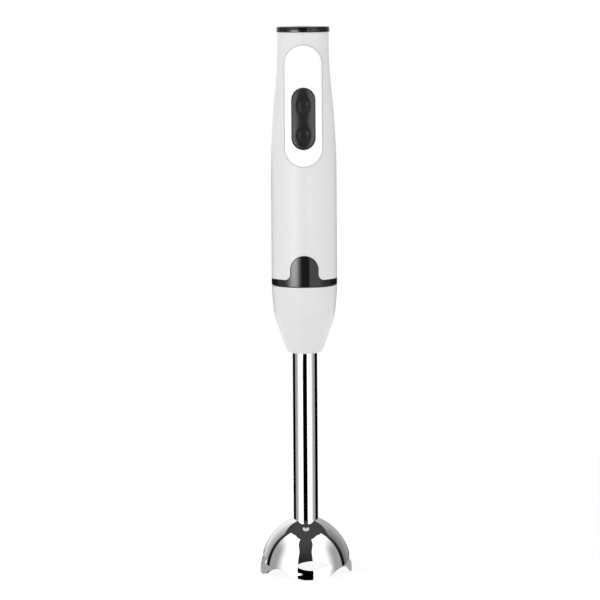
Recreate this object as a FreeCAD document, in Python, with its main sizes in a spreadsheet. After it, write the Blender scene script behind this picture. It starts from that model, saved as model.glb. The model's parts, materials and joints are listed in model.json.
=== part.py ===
# Hand blender: a white motor body over a push-on leg with a chromed tube and a scalloped bell.
# Frame: +Z up, the button faces -Y, the origin is on the floor under the centre of the bell's feet.
# Lengths are millimetres and angles degrees.
import FreeCAD, Part
import math
import os
import Sketcher

Vector = FreeCAD.Vector
doc = FreeCAD.newDocument("immersion_blender")

# ---------------------------------------------------------------- driving sizes

DRIVING = {
    # overall
    "leg_length": 199.6,          # floor to the joint between leg and motor body
    "handle_length": 175.4,       # joint to the top of the cap
    "joint_gap": 0.4,             # between collar and base ring
    "screw_radius": 1.1,          # self-tapping screws in plastic
    "screw_clearance": 0.2,
    "fit_gap": 0.1,               # between parts that are assembled and stay put
    "slide_gap": 0.3,             # round what slides or is pushed together by hand
    "running_gap": 0.03,          # shaft in bearing, per side
    # bell and its feet
    "bell_radius": 31.5,
    "bell_rise": 36.4,
    "bell_rim_band": 1.8,
    "bell_side_radius": 38.5,
    "bell_wall": 0.8,
    "bell_turn": 8.0,
    "foot_count": 4,
    "arch_height": 6.5,
    "arch_half_width": 20.0,
    "arch_crown_radius": 14.0,
    "side_hole_half_width": 10.0,
    "side_hole_half_height": 3.2,
    "side_hole_end_radius": 1.7,
    "side_hole_height": 9.8,
    # tube, shaft and their bearings
    "tube_radius": 8.4,
    "tube_wall": 0.7,
    "tube_in_bell": 6.4,
    "shaft_radius": 2.5,
    "shaft_neck_radius": 2.0,
    "bearing_radius": 4.5,
    "bearing_length": 10.0,
    "guide_length": 8.0,
    "holder_flange": 3.5,
    # blade
    "blade_half_span": 21.0,
    "blade_half_width": 5.0,
    "blade_thick": 1.2,
    "blade_height": 14.0,
    "blade_lift": 4.0,
    "blade_drop": 2.6,
    "hub_radius": 5.5,
    "nut_radius": 4.6,
    "nut_height": 4.5,
    "washer_thick": 1.2,
    # collar on top of the tube
    "collar_radius": 22.3,
    "collar_height": 46.75,
    "collar_land": 0.6,
    "collar_curve_radius": 210.0,
    "crease_radius": 20.8,
    "crease_drop": 18.9,
    "cone_curve_radius": 80.0,
    "cone_radius": 18.25,
    "cone_drop": 27.9,
    "nose_radius": 12.46,
    "nose_rise": 2.2,
    "nose_edge_radius": 3.28,
    "nose_flat_radius": 9.36,
    "core_radius": 12.4,
    "core_flange_radius": 19.2,
    "core_flange_thick": 5.8,
    "core_top_drop": 4.4,
    "core_rise": 14.7,            # collar bottom to core bottom
    "tube_end_drop": 3.2,         # core flange to the tube's end
    "collar_screw_circle": 16.0,
    "collar_head_radius": 2.3,
    "collar_head_height": 1.8,
    "screw_count": 3,
    # spigot, socket and dogs
    "spigot_radius": 13.8,
    "spigot_rise": 14.4,
    "cup_radius": 10.6,
    "cup_floor_rise": 2.9,
    "key_count": 3,
    "key_half_width": 1.5,
    "key_radius": 15.3,
    "grip_section": 0.9,
    "grip_rise": 3.2,
    "socket_wall": 2.8,
    "dog_radius": 8.6,
    "dog_hub_radius": 4.0,
    "dog_wing_radius": 6.6,
    "dog_wing_half_width": 1.0,
    "dog_wing_count": 4,
    "dog_rise": 8.4,
    # black ring with its tongue
    "ring_radius": 22.35,
    "ring_height": 4.4,
    "ring_screw_circle": 19.6,
    "ring_head_radius": 1.95,
    "ring_head_height": 1.7,
    "ring_screw_count": 4,
    "tongue_half_width": 9.56,
    "tongue_rise": 16.7,
    "tongue_fillet": 3.7,
    "tongue_depth": 2.05,
    # shells
    "body_radius": 22.25,
    "waist_radius": 17.4,
    "shell_wall": 2.2,
    "shoulder_drop": 101.0,
    "waist_drop": 10.0,
    "shoulder_radius": 550.0,
    "panel_half_width": 13.2,
    "panel_raise": 0.7,
    "panel_top_drop": 12.1,
    "panel_length": 82.3,
    "boss_radius": 2.4,
    "rib_depth": 1.8,
    "rib_height": 1.8,
    "vent_half_width": 1.0,
    "vent_height": 9.0,
    "vent_pitch": 4.4,
    "vent_count": 3,
    # cap, cord gland and clamp
    "cap_radius": 18.05,
    "cap_height": 3.95,
    "cap_edge_radius": 1.2,
    "cap_skirt": 2.1,
    "cap_skirt_depth": 8.4,
    "gland_bore": 3.5,
    "gland_wall": 1.2,
    "gland_flange": 5.6,
    "clamp_half_width": 10.5,
    "clamp_screw_spacing": 7.6,
    "clamp_head_radius": 2.1,
    # button and its frame
    "button_drop": 61.7,
    "button_half_width": 7.87,
    "button_half_length": 19.95,
    "button_raise": 0.5,
    "button_side_gap": 0.35,
    "button_end_gap": 0.9,
    "button_pad_back": 16.8,
    "carrier_thick": 3.3,
    "pivot_depth": 10.85,
    "pin_radius": 1.25,
    "scoop_radius": 15.0,
    "scoop_depth": 1.0,
    "scoop_offset": 10.0,
    "switch_end_drop": 6.4,       # button end to the middle of a switch
    "switch_half": 5.0,
    "switch_depth": 4.4,
    "spring_to_switch": 7.0,
    "spring_radius": 1.75,
    "spring_wire": 0.25,
    "frame_thick": 2.0,
    "board_half_width": 11.5,
    "board_thick": 1.6,
    # motor
    "motor_rise": 38.9,
    "motor_length": 41.0,
    "motor_radius": 17.5,
    "motor_wall": 1.5,
    "mount_thick": 1.5,
    "bracket_thick": 4.0,
    "motor_screw_spacing": 9.0,
    "motor_screw_radius": 1.5,
    "motor_head_radius": 2.7,
    "magnet_wall": 4.4,
    "magnet_angle": 130.0,
    "air_gap": 0.6,
    "core_length": 22.5,
    "slot_count": 7,
    "commutator_radius": 5.2,
    "brush_half_width": 2.5,
    "fan_radius": 15.8,
    "fan_height": 6.5,
    "fan_blade_count": 11,
    "fan_disc_thick": 1.2,
    "fan_hub_wall": 3.0,
}

sheet = doc.addObject("Spreadsheet::Sheet", "Sizes")
for row, (name, number) in enumerate(DRIVING.items(), start=1):
    sheet.set(f"A{row}", name)
    sheet.set(f"B{row}", str(number))
    sheet.setAlias(f"B{row}", name)
doc.recompute()


class Size:
    """A number together with the sheet expression that gives it."""

    def __init__(self, value, text):
        self.value = float(value)
        self.text = text

    def __add__(self, other):
        other = as_size(other)
        return Size(self.value + other.value, f"({self.text} + {other.text})")

    def __sub__(self, other):
        other = as_size(other)
        return Size(self.value - other.value, f"({self.text} - {other.text})")

    def __mul__(self, other):
        other = as_size(other)
        return Size(self.value * other.value, f"({self.text} * {other.text})")

    def __truediv__(self, other):
        other = as_size(other)
        return Size(self.value / other.value, f"({self.text} / {other.text})")

    def __radd__(self, other):
        return as_size(other) + self

    def __rsub__(self, other):
        return as_size(other) - self

    def __rmul__(self, other):
        return as_size(other) * self

    def __neg__(self):
        return Size(-self.value, f"(0 - {self.text})")


def as_size(thing):
    return thing if isinstance(thing, Size) else Size(thing, f"({float(thing)})")


def root(thing):
    return Size(math.sqrt(thing.value), f"sqrt({thing.text})")


def driving(name):
    return Size(DRIVING[name], f"Sizes.{name}")


def derived(name, thing):
    """Keep a worked-out size in the sheet under its own name."""
    cell = len(DRIVING) + len(derived_names) + 1
    sheet.set(f"A{cell}", name)
    sheet.set(f"B{cell}", f"={thing.text.replace('Sizes.', '')}")
    sheet.setAlias(f"B{cell}", name)
    derived_names.append(name)
    return Size(thing.value, f"Sizes.{name}")


derived_names = []

# ---------------------------------------------------------------- FreeCAD helpers

HALF = "half circle"
pieces = []


def new_body(label):
    body = doc.addObject("PartDesign::Body", label)
    body.Label = label
    body.AllowCompound = True
    pieces.append(body)
    return body


def origin_part(body, role):
    return next(item for item in body.Origin.OriginFeatures if item.Role == role)


def fix_point(sketch, edge, end, x, y):
    for kind, place in (("DistanceX", x), ("DistanceY", y)):
        if place is not None:
            place = as_size(place)
            row = sketch.addConstraint(Sketcher.Constraint(kind, -1, 1, edge, end, place.value))
            sketch.setExpression(f"Constraints[{row}]", place.text)


def arc_through(start, finish, radius):
    """An arc between two points: a positive radius turns left on the way, a negative one right."""
    if radius.value < 0:
        start, finish = finish, start
    chord = finish - start
    reach = math.sqrt(max(radius.value ** 2 - (chord.Length / 2) ** 2, 0.0))
    left = Vector(-chord.y, chord.x, 0).normalize()
    centre = (start + finish) * 0.5 + left * reach
    angles = [math.atan2(point.y - centre.y, point.x - centre.x) for point in (start, finish)]
    if angles[1] < angles[0]:
        angles[1] += 2 * math.pi
    circle = Part.Circle(centre, Vector(0, 0, 1), abs(radius.value))
    return Part.ArcOfCircle(circle, angles[0], angles[1])


def draw_outline(sketch, corners):
    """A closed outline. A corner is (x, y) or (x, y, radius of the arc to the next corner)."""
    first = len(sketch.Geometry)
    places = [(as_size(corner[0]), as_size(corner[1])) for corner in corners]
    points = [Vector(x.value, y.value, 0) for x, y in places]
    bends = [corner[2] if len(corner) > 2 else None for corner in corners]
    count = len(corners)
    heads = []
    for i in range(count):
        start, finish = points[i], points[(i + 1) % count]
        bend = bends[i]
        if bend is None:
            sketch.addGeometry(Part.LineSegment(start, finish), False)
        elif bend == HALF:
            sketch.addGeometry(arc_through(start, finish, as_size((finish - start).Length / 2)), False)
        else:
            sketch.addGeometry(arc_through(start, finish, as_size(bend)), False)
        clockwise = bend is not None and bend != HALF and as_size(bend).value < 0
        heads.append((2, 1) if clockwise else (1, 2))
    for i in range(count):
        after = (i + 1) % count
        sketch.addConstraint(Sketcher.Constraint(
            "Coincident", first + i, heads[i][1], first + after, heads[after][0]))
        x, y = places[i]
        if bends[i - 1] == HALF:
            level = abs(points[i].y - points[i - 1].y) < 1e-9
            x, y = (None, y) if level else (x, None)
        fix_point(sketch, first + i, heads[i][0], x, y)
        if bends[i] == HALF:
            far = places[after]
            middle = ((places[i][0] + far[0]) / 2, (places[i][1] + far[1]) / 2)
            fix_point(sketch, first + i, 3, *middle)
        elif bends[i] is not None:
            size = as_size(bends[i])
            size = -size if size.value < 0 else size
            row = sketch.addConstraint(Sketcher.Constraint("Radius", first + i, size.value))
            sketch.setExpression(f"Constraints[{row}]", size.text)


def draw_circle(sketch, x, y, radius):
    x, y, radius = as_size(x), as_size(y), as_size(radius)
    edge = sketch.addGeometry(Part.Circle(Vector(x.value, y.value, 0), Vector(0, 0, 1), radius.value))
    fix_point(sketch, edge, 3, x, y)
    row = sketch.addConstraint(Sketcher.Constraint("Radius", edge, radius.value))
    sketch.setExpression(f"Constraints[{row}]", radius.text)


def new_sketch(body, plane, outlines, shift=0, spin=0):
    """A sketch on one of the body's own planes, moved along its normal and spun about Z."""
    sketch = body.newObject("Sketcher::SketchObject", "sketch")
    sketch.AttachmentSupport = [(origin_part(body, plane), "")]
    sketch.MapMode = "FlatFace"
    axis = Vector(0, 0, 1) if plane == "XY_Plane" else Vector(0, 1, 0)
    rotation = FreeCAD.Rotation(axis, as_size(spin).value)
    away = as_size(shift)
    sketch.AttachmentOffset = FreeCAD.Placement(rotation.multVec(Vector(0, 0, away.value)), rotation)
    if as_size(spin).value == 0:
        sketch.setExpression("AttachmentOffset.Base.z", away.text)
    for outline in outlines:
        if outline[0] == "circle":
            draw_circle(sketch, *outline[1:])
        else:
            draw_outline(sketch, outline)
    return sketch


def circle(x, y, radius):
    return ("circle", x, y, radius)


def add_feature(body, kind, sketch, **settings):
    feature = body.newObject(f"PartDesign::{kind}", kind.lower())
    feature.Profile = sketch
    for name, thing in settings.items():
        if isinstance(thing, Size):
            feature.setExpression(name, thing.text)
        else:
            setattr(feature, name, thing)
    body.Tip = feature
    return feature


def turn(body, outline, angle=360, plane="XZ_Plane"):
    """Revolve an outline of (radius, height) corners about Z, centred on its plane."""
    sketch = new_sketch(body, plane, [outline])
    whole = as_size(angle).value >= 360
    return add_feature(body, "Revolution", sketch, ReferenceAxis=(sketch, ["V_Axis"]),
                       Angle=as_size(angle), Midplane=not whole)


def groove(body, outline, plane="XZ_Plane"):
    sketch = new_sketch(body, plane, [outline])
    return add_feature(body, "Groove", sketch, ReferenceAxis=(sketch, ["V_Axis"]), Angle=360)


def pad(body, plane, outlines, length, shift=0, spin=0, both=False):
    """Pad along the plane's normal: XY goes up, XZ goes to the front, YZ goes to the right."""
    sketch = new_sketch(body, plane, outlines, shift, spin)
    return add_feature(body, "Pad", sketch, Length=as_size(length), Midplane=both)


def pocket(body, plane, outlines, length, shift=0, spin=0, both=False):
    """Cut the same way as pad adds."""
    sketch = new_sketch(body, plane, outlines, shift, spin)
    return add_feature(body, "Pocket", sketch, Length=as_size(length), Midplane=both,
                       Reversed=not both)


def around(body, features, count):
    """Repeat features evenly about Z."""
    pattern = body.newObject("PartDesign::PolarPattern", "pattern")
    pattern.Originals = features
    pattern.Axis = (origin_part(body, "Z_Axis"), [""])
    pattern.Angle = 360
    pattern.setExpression("Occurrences", as_size(count).text)
    body.Tip = pattern
    return pattern


def mirror(body, features, plane="YZ_Plane"):
    pattern = body.newObject("PartDesign::Mirrored", "mirrored")
    pattern.Originals = features
    pattern.MirrorPlane = (origin_part(body, plane), [""])
    body.Tip = pattern
    return pattern


def place(item, x=0, y=0, z=0, axis=Vector(0, 0, 1), angle=0):
    """Put a sub-part in place. Each coordinate stays bound to the sheet."""
    spots = {"x": as_size(x), "y": as_size(y), "z": as_size(z)}
    base = Vector(*(spot.value for spot in spots.values()))
    item.Placement = FreeCAD.Placement(base, FreeCAD.Rotation(axis, as_size(angle).value))
    for name, spot in spots.items():
        item.setExpression(f"Placement.Base.{name}", spot.text)
    if as_size(angle).value != 0:
        item.setExpression("Placement.Rotation.Angle", as_size(angle).text)


def box(x0, x1, y0, y1):
    return [(x0, y0), (x1, y0), (x1, y1), (x0, y1)]


def stadium(half_width, half_length, middle):
    """An upright slot outline with round ends."""
    straight = half_length - half_width
    return [(-half_width, middle - straight, HALF), (half_width, middle - straight),
            (half_width, middle + straight, HALF), (-half_width, middle + straight)]


def oval(half_width, half_height, end_radius, middle):
    """A long hole of two flat arcs and two tight ends, all tangent."""
    run = half_width - end_radius
    flat = (run * run + half_height * half_height - end_radius * end_radius) \
        / (2 * (half_height - end_radius))
    share = flat / (flat - end_radius)
    x = run * share
    y = (flat - half_height) * share - (flat - half_height)
    return [(x, middle + y, flat), (-x, middle + y, end_radius),
            (-x, middle - y, flat), (x, middle - y, end_radius)]


def ring(body, inner, outer, low, high):
    return turn(body, box(inner, outer, low, high))


def o_ring(label, middle_radius, section, height):
    body = new_body(label)
    sketch = new_sketch(body, "XZ_Plane", [circle(middle_radius, height, section)])
    add_feature(body, "Revolution", sketch, ReferenceAxis=(sketch, ["V_Axis"]), Angle=360)
    return body


def coil_spring(label, places, radius, wire, length, turns, axis, angle):
    """Springs of one size, each built along +Z from its own foot and put in place."""
    coils = []
    for x, y, z in places:
        body = doc.addObject("PartDesign::Body", "coil")
        sketch = new_sketch(body, "XZ_Plane", [circle(radius, wire, wire)])
        add_feature(body, "AdditiveHelix", sketch, ReferenceAxis=(sketch, ["V_Axis"]),
                    Mode="height-turns-angle", Height=length - 2 * wire, Turns=turns)
        place(body, x, y, z, axis, angle)
        coils.append(body)
    group = doc.addObject("Part::Compound", label)
    group.Label = label
    group.Links = coils
    pieces.append(group)


# ---------------------------------------------------------------- levels and worked-out sizes

joint = driving("leg_length")
top = derived("top", joint + driving("handle_length"))
joint_gap = driving("joint_gap")
fit_gap = driving("fit_gap")
slide_gap = driving("slide_gap")
running_gap = driving("running_gap")
tube_radius = driving("tube_radius")
tube_bore = derived("tube_bore", tube_radius - driving("tube_wall"))
shaft_radius = driving("shaft_radius")
shaft_bore = derived("shaft_bore", shaft_radius + running_gap)
bearing_radius = driving("bearing_radius")
bearing_length = driving("bearing_length")

# leg
collar_top = derived("collar_top", joint - joint_gap / 2)
collar_bottom = derived("collar_bottom", collar_top - driving("collar_height"))
flange_top = derived("flange_top", collar_top - driving("core_top_drop"))
flange_bottom = derived("flange_bottom", flange_top - driving("core_flange_thick"))
core_bottom = derived("core_bottom", collar_bottom + driving("core_rise"))
tube_top = derived("tube_top", flange_bottom - driving("tube_end_drop"))
upper_bearing_bottom = derived("upper_bearing_bottom", tube_top + 5)
upper_bearing_top = derived("upper_bearing_top", upper_bearing_bottom + bearing_length)
cup_floor = derived("cup_floor", joint + driving("cup_floor_rise"))
spigot_top = derived("spigot_top", joint + driving("spigot_rise"))
blade_bottom = driving("blade_height")
blade_top = derived("blade_top", blade_bottom + driving("blade_thick"))

# motor body
ring_bottom = derived("ring_bottom", joint + joint_gap / 2)
ring_top = derived("ring_top", ring_bottom + driving("ring_height"))
shell_bottom = derived("shell_bottom", ring_top + fit_gap)
shell_top = derived("shell_top", top - driving("cap_height"))
socket_bore = derived("socket_bore", driving("spigot_radius") + slide_gap)
socket_radius = derived("socket_radius", socket_bore + driving("socket_wall"))
socket_flange_bottom = derived("socket_flange_bottom", spigot_top + 2)
socket_flange_top = derived("socket_flange_top", socket_flange_bottom + 3)
bracket_top = derived("bracket_top", joint + driving("motor_rise") - driving("mount_thick"))
bracket_bottom = derived("bracket_bottom", bracket_top - driving("bracket_thick"))
inner_radius = derived("inner_radius", driving("body_radius") - driving("shell_wall"))
disc_radius = derived("disc_radius", inner_radius - 0.35)
dog_bottom = derived("dog_bottom", joint + driving("dog_rise"))
can_bottom = derived("can_bottom", joint + driving("motor_rise"))
can_top = derived("can_top", can_bottom + driving("motor_length"))
can_bore = derived("can_bore", driving("motor_radius") - driving("motor_wall"))
armature_middle = derived("armature_middle", can_bottom + driving("motor_length") / 2 - 0.25)
magnet_bore = derived("magnet_bore", can_bore - driving("magnet_wall"))
armature_radius = derived("armature_radius", magnet_bore - driving("air_gap"))
button_middle = derived("button_middle", top - driving("button_drop"))
pivot_depth = driving("pivot_depth")
switch_offset = derived("switch_offset",
                        driving("button_half_length") - driving("switch_end_drop"))
spring_offset = derived("spring_offset", switch_offset - driving("spring_to_switch"))
screw_radius = driving("screw_radius")
screw_hole_radius = derived("screw_hole_radius", screw_radius + driving("screw_clearance"))
seal_radius = derived("seal_radius", shaft_radius + 2.7)

# the handle's outline: straight, then an outward arc and an inward arc down to the waist
shoulder = derived("shoulder", top - driving("shoulder_drop"))
waist = derived("waist", top - driving("waist_drop"))
taper_length = derived("taper_length", waist - shoulder)
taper_depth = derived("taper_depth", driving("body_radius") - driving("waist_radius"))
both_arcs = derived("both_arcs", (taper_length * taper_length + taper_depth * taper_depth)
                    / (2 * taper_depth))
shoulder_arc = driving("shoulder_radius")
waist_arc = derived("waist_arc", both_arcs - shoulder_arc)
taper_sine = derived("taper_sine", taper_length / both_arcs)
taper_cosine = derived("taper_cosine", 1 - taper_depth / both_arcs)


def handle_outline(offset, low, high, inner=0):
    """The handle's side at a distance outside its skin, closed down the line radius = inner."""
    bend_x = driving("body_radius") - shoulder_arc * (1 - taper_cosine) + taper_cosine * offset
    bend_z = shoulder + shoulder_arc * taper_sine + taper_sine * offset
    return [(inner, low), (driving("body_radius") + offset, low),
            (driving("body_radius") + offset, shoulder, shoulder_arc + offset),
            (bend_x, bend_z, -(waist_arc - offset)),
            (driving("waist_radius") + offset, waist),
            (driving("waist_radius") + offset, high), (inner, high)]


def outside_of(outline_corners, reach):
    """The region between an outline's curved side and a wider radius."""
    side = outline_corners[1:-1]
    return [(reach, side[0][1]), (reach, side[-1][1])] + reversed_path(side)


def reversed_path(side):
    """The same path walked backwards, with each arc's turn reversed."""
    backwards = []
    for i in range(len(side) - 1, -1, -1):
        x, y = side[i][0], side[i][1]
        bend = side[i - 1][2] if i > 0 and len(side[i - 1]) > 2 else None
        backwards.append((x, y) if bend is None else (x, y, -as_size(bend)))
    return backwards


# ---------------------------------------------------------------- bell, tube and bearings


def make_blade_guard():
    radius, rise, side = driving("bell_radius"), driving("bell_rise"), driving("bell_side_radius")
    band, wall = driving("bell_rim_band"), driving("bell_wall")
    crown = derived("bell_crown_radius", (radius * radius + rise * rise - 2 * radius * side)
                    / (2 * (rise - side)))
    crown_z = derived("bell_crown_z", band + rise - crown)
    share_x = (side - radius) / (side - crown)
    share_z = (rise - crown) / (side - crown)

    def bend(away):
        return (radius - side + (side - away) * share_x, band + (side - away) * share_z)

    def peak(away):
        reach = crown - away
        return (tube_radius, crown_z + root(reach * reach - tube_radius * tube_radius))

    body = new_body("blade_guard")
    turn(body, [(radius - wall, 0), (radius, 0), (radius, band, side), (*bend(0), crown), peak(0),
                (*peak(wall), -(crown - wall)), (*bend(wall), -(side - wall)),
                (radius - wall, band)])
    half, height = driving("arch_half_width"), driving("arch_height")
    crown_arc = driving("arch_crown_radius")
    foot_arc = derived("foot_arc", (half * half + height * height) / (2 * height) - crown_arc)
    arc_sum = crown_arc + foot_arc
    side_x = half - foot_arc * half / arc_sum
    side_z = foot_arc * height / arc_sum
    below = -5
    arch = pocket(body, "XZ_Plane",
                  [[(half, below), (half, 0, -foot_arc), (side_x, side_z, crown_arc),
                    (-side_x, side_z, -foot_arc), (-half, 0), (-half, below)]],
                  2 * radius, spin=45)
    hole = pocket(body, "XZ_Plane",
                  [oval(driving("side_hole_half_width"), driving("side_hole_half_height"),
                        driving("side_hole_end_radius"), driving("side_hole_height"))], 2 * radius)
    around(body, [arch, hole], driving("foot_count"))
    place(body, angle=driving("bell_turn"))
    return derived("bell_peak", peak(0)[1])


def make_leg():
    bell_peak = make_blade_guard()
    tube_bottom = derived("tube_bottom", bell_peak - driving("tube_in_bell"))
    pin_height = derived("pin_height", core_bottom + 9)

    tube = new_body("leg_tube")
    ring(tube, tube_bore, tube_radius, tube_bottom, tube_top)
    pocket(tube, "YZ_Plane", [circle(0, pin_height, driving("pin_radius"))], 3 * tube_radius, both=True)

    flange_low = derived("flange_low", tube_bottom - driving("holder_flange"))
    holder_radius = tube_bore - running_gap
    seal_top = derived("seal_top", tube_bottom + 2)
    low_bearing = derived("low_bearing", seal_top + 4)
    holder = new_body("bearing_holder")
    turn(holder, [(seal_radius, flange_low), (tube_radius + 1.25, flange_low),
                  (tube_radius + 1.25, tube_bottom), (holder_radius, tube_bottom),
                  (holder_radius, low_bearing + bearing_length + 1),
                  (bearing_radius, low_bearing + bearing_length + 1), (bearing_radius, low_bearing),
                  (shaft_radius + 0.7, low_bearing), (shaft_radius + 0.7, seal_top),
                  (seal_radius, seal_top)])

    ring(new_body("lower_bearing"), shaft_bore, bearing_radius, low_bearing,
         low_bearing + bearing_length)
    ring(new_body("upper_bearing"), shaft_bore, bearing_radius, upper_bearing_bottom,
         upper_bearing_top)
    guide_middle = (low_bearing + bearing_length + tube_top) / 2
    ring(new_body("shaft_guide"), shaft_bore, holder_radius, guide_middle,
         guide_middle + driving("guide_length"))

    lip = shaft_bore + 0.02
    seal = new_body("shaft_seal")
    turn(seal, [(lip, flange_low + 1.4), (lip + 0.9, flange_low + 0.3), (seal_radius, flange_low + 0.3),
                (seal_radius, seal_top), (seal_radius - 1, seal_top),
                (seal_radius - 1, flange_low + 2.6), (lip, flange_low + 2.2)])

    pins = new_body("tube_pins")
    one = pad(pins, "YZ_Plane", [circle(0, pin_height, driving("pin_radius"))],
              driving("core_radius") - tube_bore + 0.4, shift=tube_bore - 0.6)
    around(pins, [one], 2)
    return flange_low, pin_height


def make_collar(pin_height):
    nose_bore = tube_radius + running_gap
    core_bore = driving("core_radius") + running_gap
    flange_bore = driving("core_flange_radius") + fit_gap
    seal_section = derived("seal_section", as_size(0.75))
    seal_height = collar_bottom + 4
    collar = new_body("leg_collar")
    turn(collar, [(nose_bore, collar_bottom),
                  (driving("nose_flat_radius"), collar_bottom, driving("nose_edge_radius")),
                  (driving("nose_radius"), collar_bottom + driving("nose_rise")),
                  (driving("cone_radius"), collar_top - driving("cone_drop"),
                   driving("cone_curve_radius")),
                  (driving("crease_radius"), collar_top - driving("crease_drop"),
                   driving("collar_curve_radius")),
                  (driving("collar_radius"), collar_top - driving("collar_land")),
                  (driving("collar_radius"), collar_top), (flange_bore, collar_top),
                  (flange_bore, flange_bottom - 0.05), (core_bore, flange_bottom - 0.05),
                  (core_bore, core_bottom - 0.05), (nose_bore, core_bottom - 0.05)])
    groove(collar, box(tube_radius - 1, tube_radius + 2 * seal_section + fit_gap, seal_height - 1.1,
                       seal_height + 1.1))
    circle_radius = driving("collar_screw_circle")
    pilot = pocket(collar, "XY_Plane", [circle(circle_radius, 0, screw_radius)], 11,
                   shift=flange_bottom - 11)
    around(collar, [pilot], driving("screw_count"))
    o_ring("tube_seal", tube_radius + seal_section + running_gap, seal_section, seal_height)

    core = new_body("collar_core")
    spigot, cup = driving("spigot_radius"), driving("cup_radius")
    turn(core, [(tube_radius + running_gap, core_bottom), (driving("core_radius"), core_bottom),
                (driving("core_radius"), flange_bottom), (driving("core_flange_radius"), flange_bottom),
                (driving("core_flange_radius"), flange_top), (spigot, flange_top),
                (spigot, spigot_top - 0.8), (spigot - 0.8, spigot_top), (cup, spigot_top),
                (cup, cup_floor), (bearing_radius, cup_floor), (bearing_radius, upper_bearing_bottom),
                (shaft_radius + 0.7, upper_bearing_bottom), (shaft_radius + 0.7, tube_top),
                (tube_radius + running_gap, tube_top)])
    grip_height = joint + driving("grip_rise")
    section = driving("grip_section")
    grip_middle = socket_bore - running_gap - section
    groove(core, box(grip_middle - section - 0.02, spigot + 1, grip_height - section - 0.2,
                     grip_height + section + 0.2))
    key_low = derived("key_low", grip_height + section + 1.5)
    key = pad(core, "XY_Plane", [box(cup + 0.8, driving("key_radius"), -driving("key_half_width"),
                                     driving("key_half_width"))],
              spigot_top - 1.5 - key_low, shift=key_low)
    around(core, [key], driving("key_count"))
    head_radius = driving("collar_head_radius")
    screw_hole = pocket(core, "XY_Plane", [circle(circle_radius, 0, screw_hole_radius)], 8,
                        shift=flange_bottom - 1)
    head_hole = pocket(core, "XY_Plane", [circle(circle_radius, 0, head_radius + driving("screw_clearance"))],
                       4, shift=flange_top - 2)
    around(core, [screw_hole, head_hole], driving("screw_count"))
    pocket(core, "YZ_Plane", [circle(0, pin_height, driving("pin_radius"))],
           3 * driving("core_radius"), both=True)
    o_ring("leg_grip_ring", grip_middle, section, grip_height)

    screws = new_body("collar_screws")
    shank = pad(screws, "XY_Plane", [circle(circle_radius, 0, screw_radius)],
                flange_top - 2 - (flange_bottom - 10), shift=flange_bottom - 10)
    head = pad(screws, "XY_Plane", [circle(circle_radius, 0, head_radius)],
               driving("collar_head_height"), shift=flange_top - 2)
    around(screws, [shank, head], driving("screw_count"))


def make_blade(flange_low):
    neck = driving("shaft_neck_radius")
    shaft = new_body("blade_shaft")
    nut_bottom = blade_bottom - driving("nut_height")
    turn(shaft, [(0, nut_bottom - 0.5), (neck - 0.4, nut_bottom - 0.5), (neck, nut_bottom),
                 (neck, blade_top), (shaft_radius, blade_top), (shaft_radius, dog_bottom - 1),
                 (0, dog_bottom - 1)])

    washer_bottom = derived("washer_bottom", flange_low - slide_gap - driving("washer_thick"))
    hub = new_body("blade_hub")
    hub_radius = driving("hub_radius")
    turn(hub, [(shaft_radius, blade_top), (hub_radius, blade_top), (hub_radius, washer_bottom - 2),
               (hub_radius - 1, washer_bottom), (shaft_radius, washer_bottom)])
    ring(new_body("thrust_washer"), shaft_radius, seal_radius - 0.2, washer_bottom,
         washer_bottom + driving("washer_thick"))

    nut = new_body("blade_nut")
    corner = driving("nut_radius")
    sixth = math.sqrt(3) / 2
    hexagon = [(corner, 0), (corner / 2, corner * sixth), (-corner / 2, corner * sixth), (-corner, 0),
               (-corner / 2, -corner * sixth), (corner / 2, -corner * sixth)]
    pad(nut, "XY_Plane", [hexagon, circle(0, 0, neck)], driving("nut_height"), shift=nut_bottom)

    blade = new_body("blade")
    span, thick = driving("blade_half_span"), driving("blade_thick")
    lift, drop = driving("blade_lift"), driving("blade_drop")
    bend = hub_radius + 2
    pad(blade, "XZ_Plane",
        [[(-span, blade_bottom + lift), (-bend, blade_bottom), (bend, blade_bottom),
          (span, blade_bottom - drop), (span, blade_bottom - drop + thick), (bend, blade_top),
          (-bend, blade_top), (-span, blade_bottom + lift + thick)]],
        2 * driving("blade_half_width"), both=True)
    half = driving("blade_half_width")
    wide = half + 1
    sweep = pocket(blade, "XY_Plane",
                   [[(bend, half), (span - 4, 1.5), (span - 1.5, -half), (span + 2, -wide),
                     (span + 2, wide), (bend, wide)]], 20, shift=blade_bottom - 8)
    around(blade, [sweep], 2)
    pocket(blade, "XY_Plane", [circle(0, 0, neck)], 10, shift=blade_bottom - 4)

    clip = new_body("shaft_clip")
    clip_bottom = derived("clip_bottom", upper_bearing_top + slide_gap)
    ring(clip, shaft_radius, bearing_radius - slide_gap, clip_bottom, clip_bottom + 0.8)

    dog = new_body("driven_dog")
    dog_low = derived("dog_low", cup_floor + slide_gap)
    hub_r, wing_r = driving("dog_hub_radius"), driving("dog_wing_radius")
    turn(dog, [(shaft_radius, dog_low), (cup_radius_clear(), dog_low), (cup_radius_clear(), dog_low + 3),
               (hub_r, dog_low + 3), (hub_r, dog_bottom + 7.5), (0, dog_bottom + 7.5),
               (0, dog_bottom - 1), (shaft_radius, dog_bottom - 1)])
    wing = pad(dog, "XY_Plane", [box(hub_r - 1, wing_r, -driving("dog_wing_half_width"),
                                     driving("dog_wing_half_width"))],
               7, shift=dog_bottom)
    around(dog, [wing], driving("dog_wing_count"))


def cup_radius_clear():
    return driving("cup_radius") - 1


# ---------------------------------------------------------------- socket and ring


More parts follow.
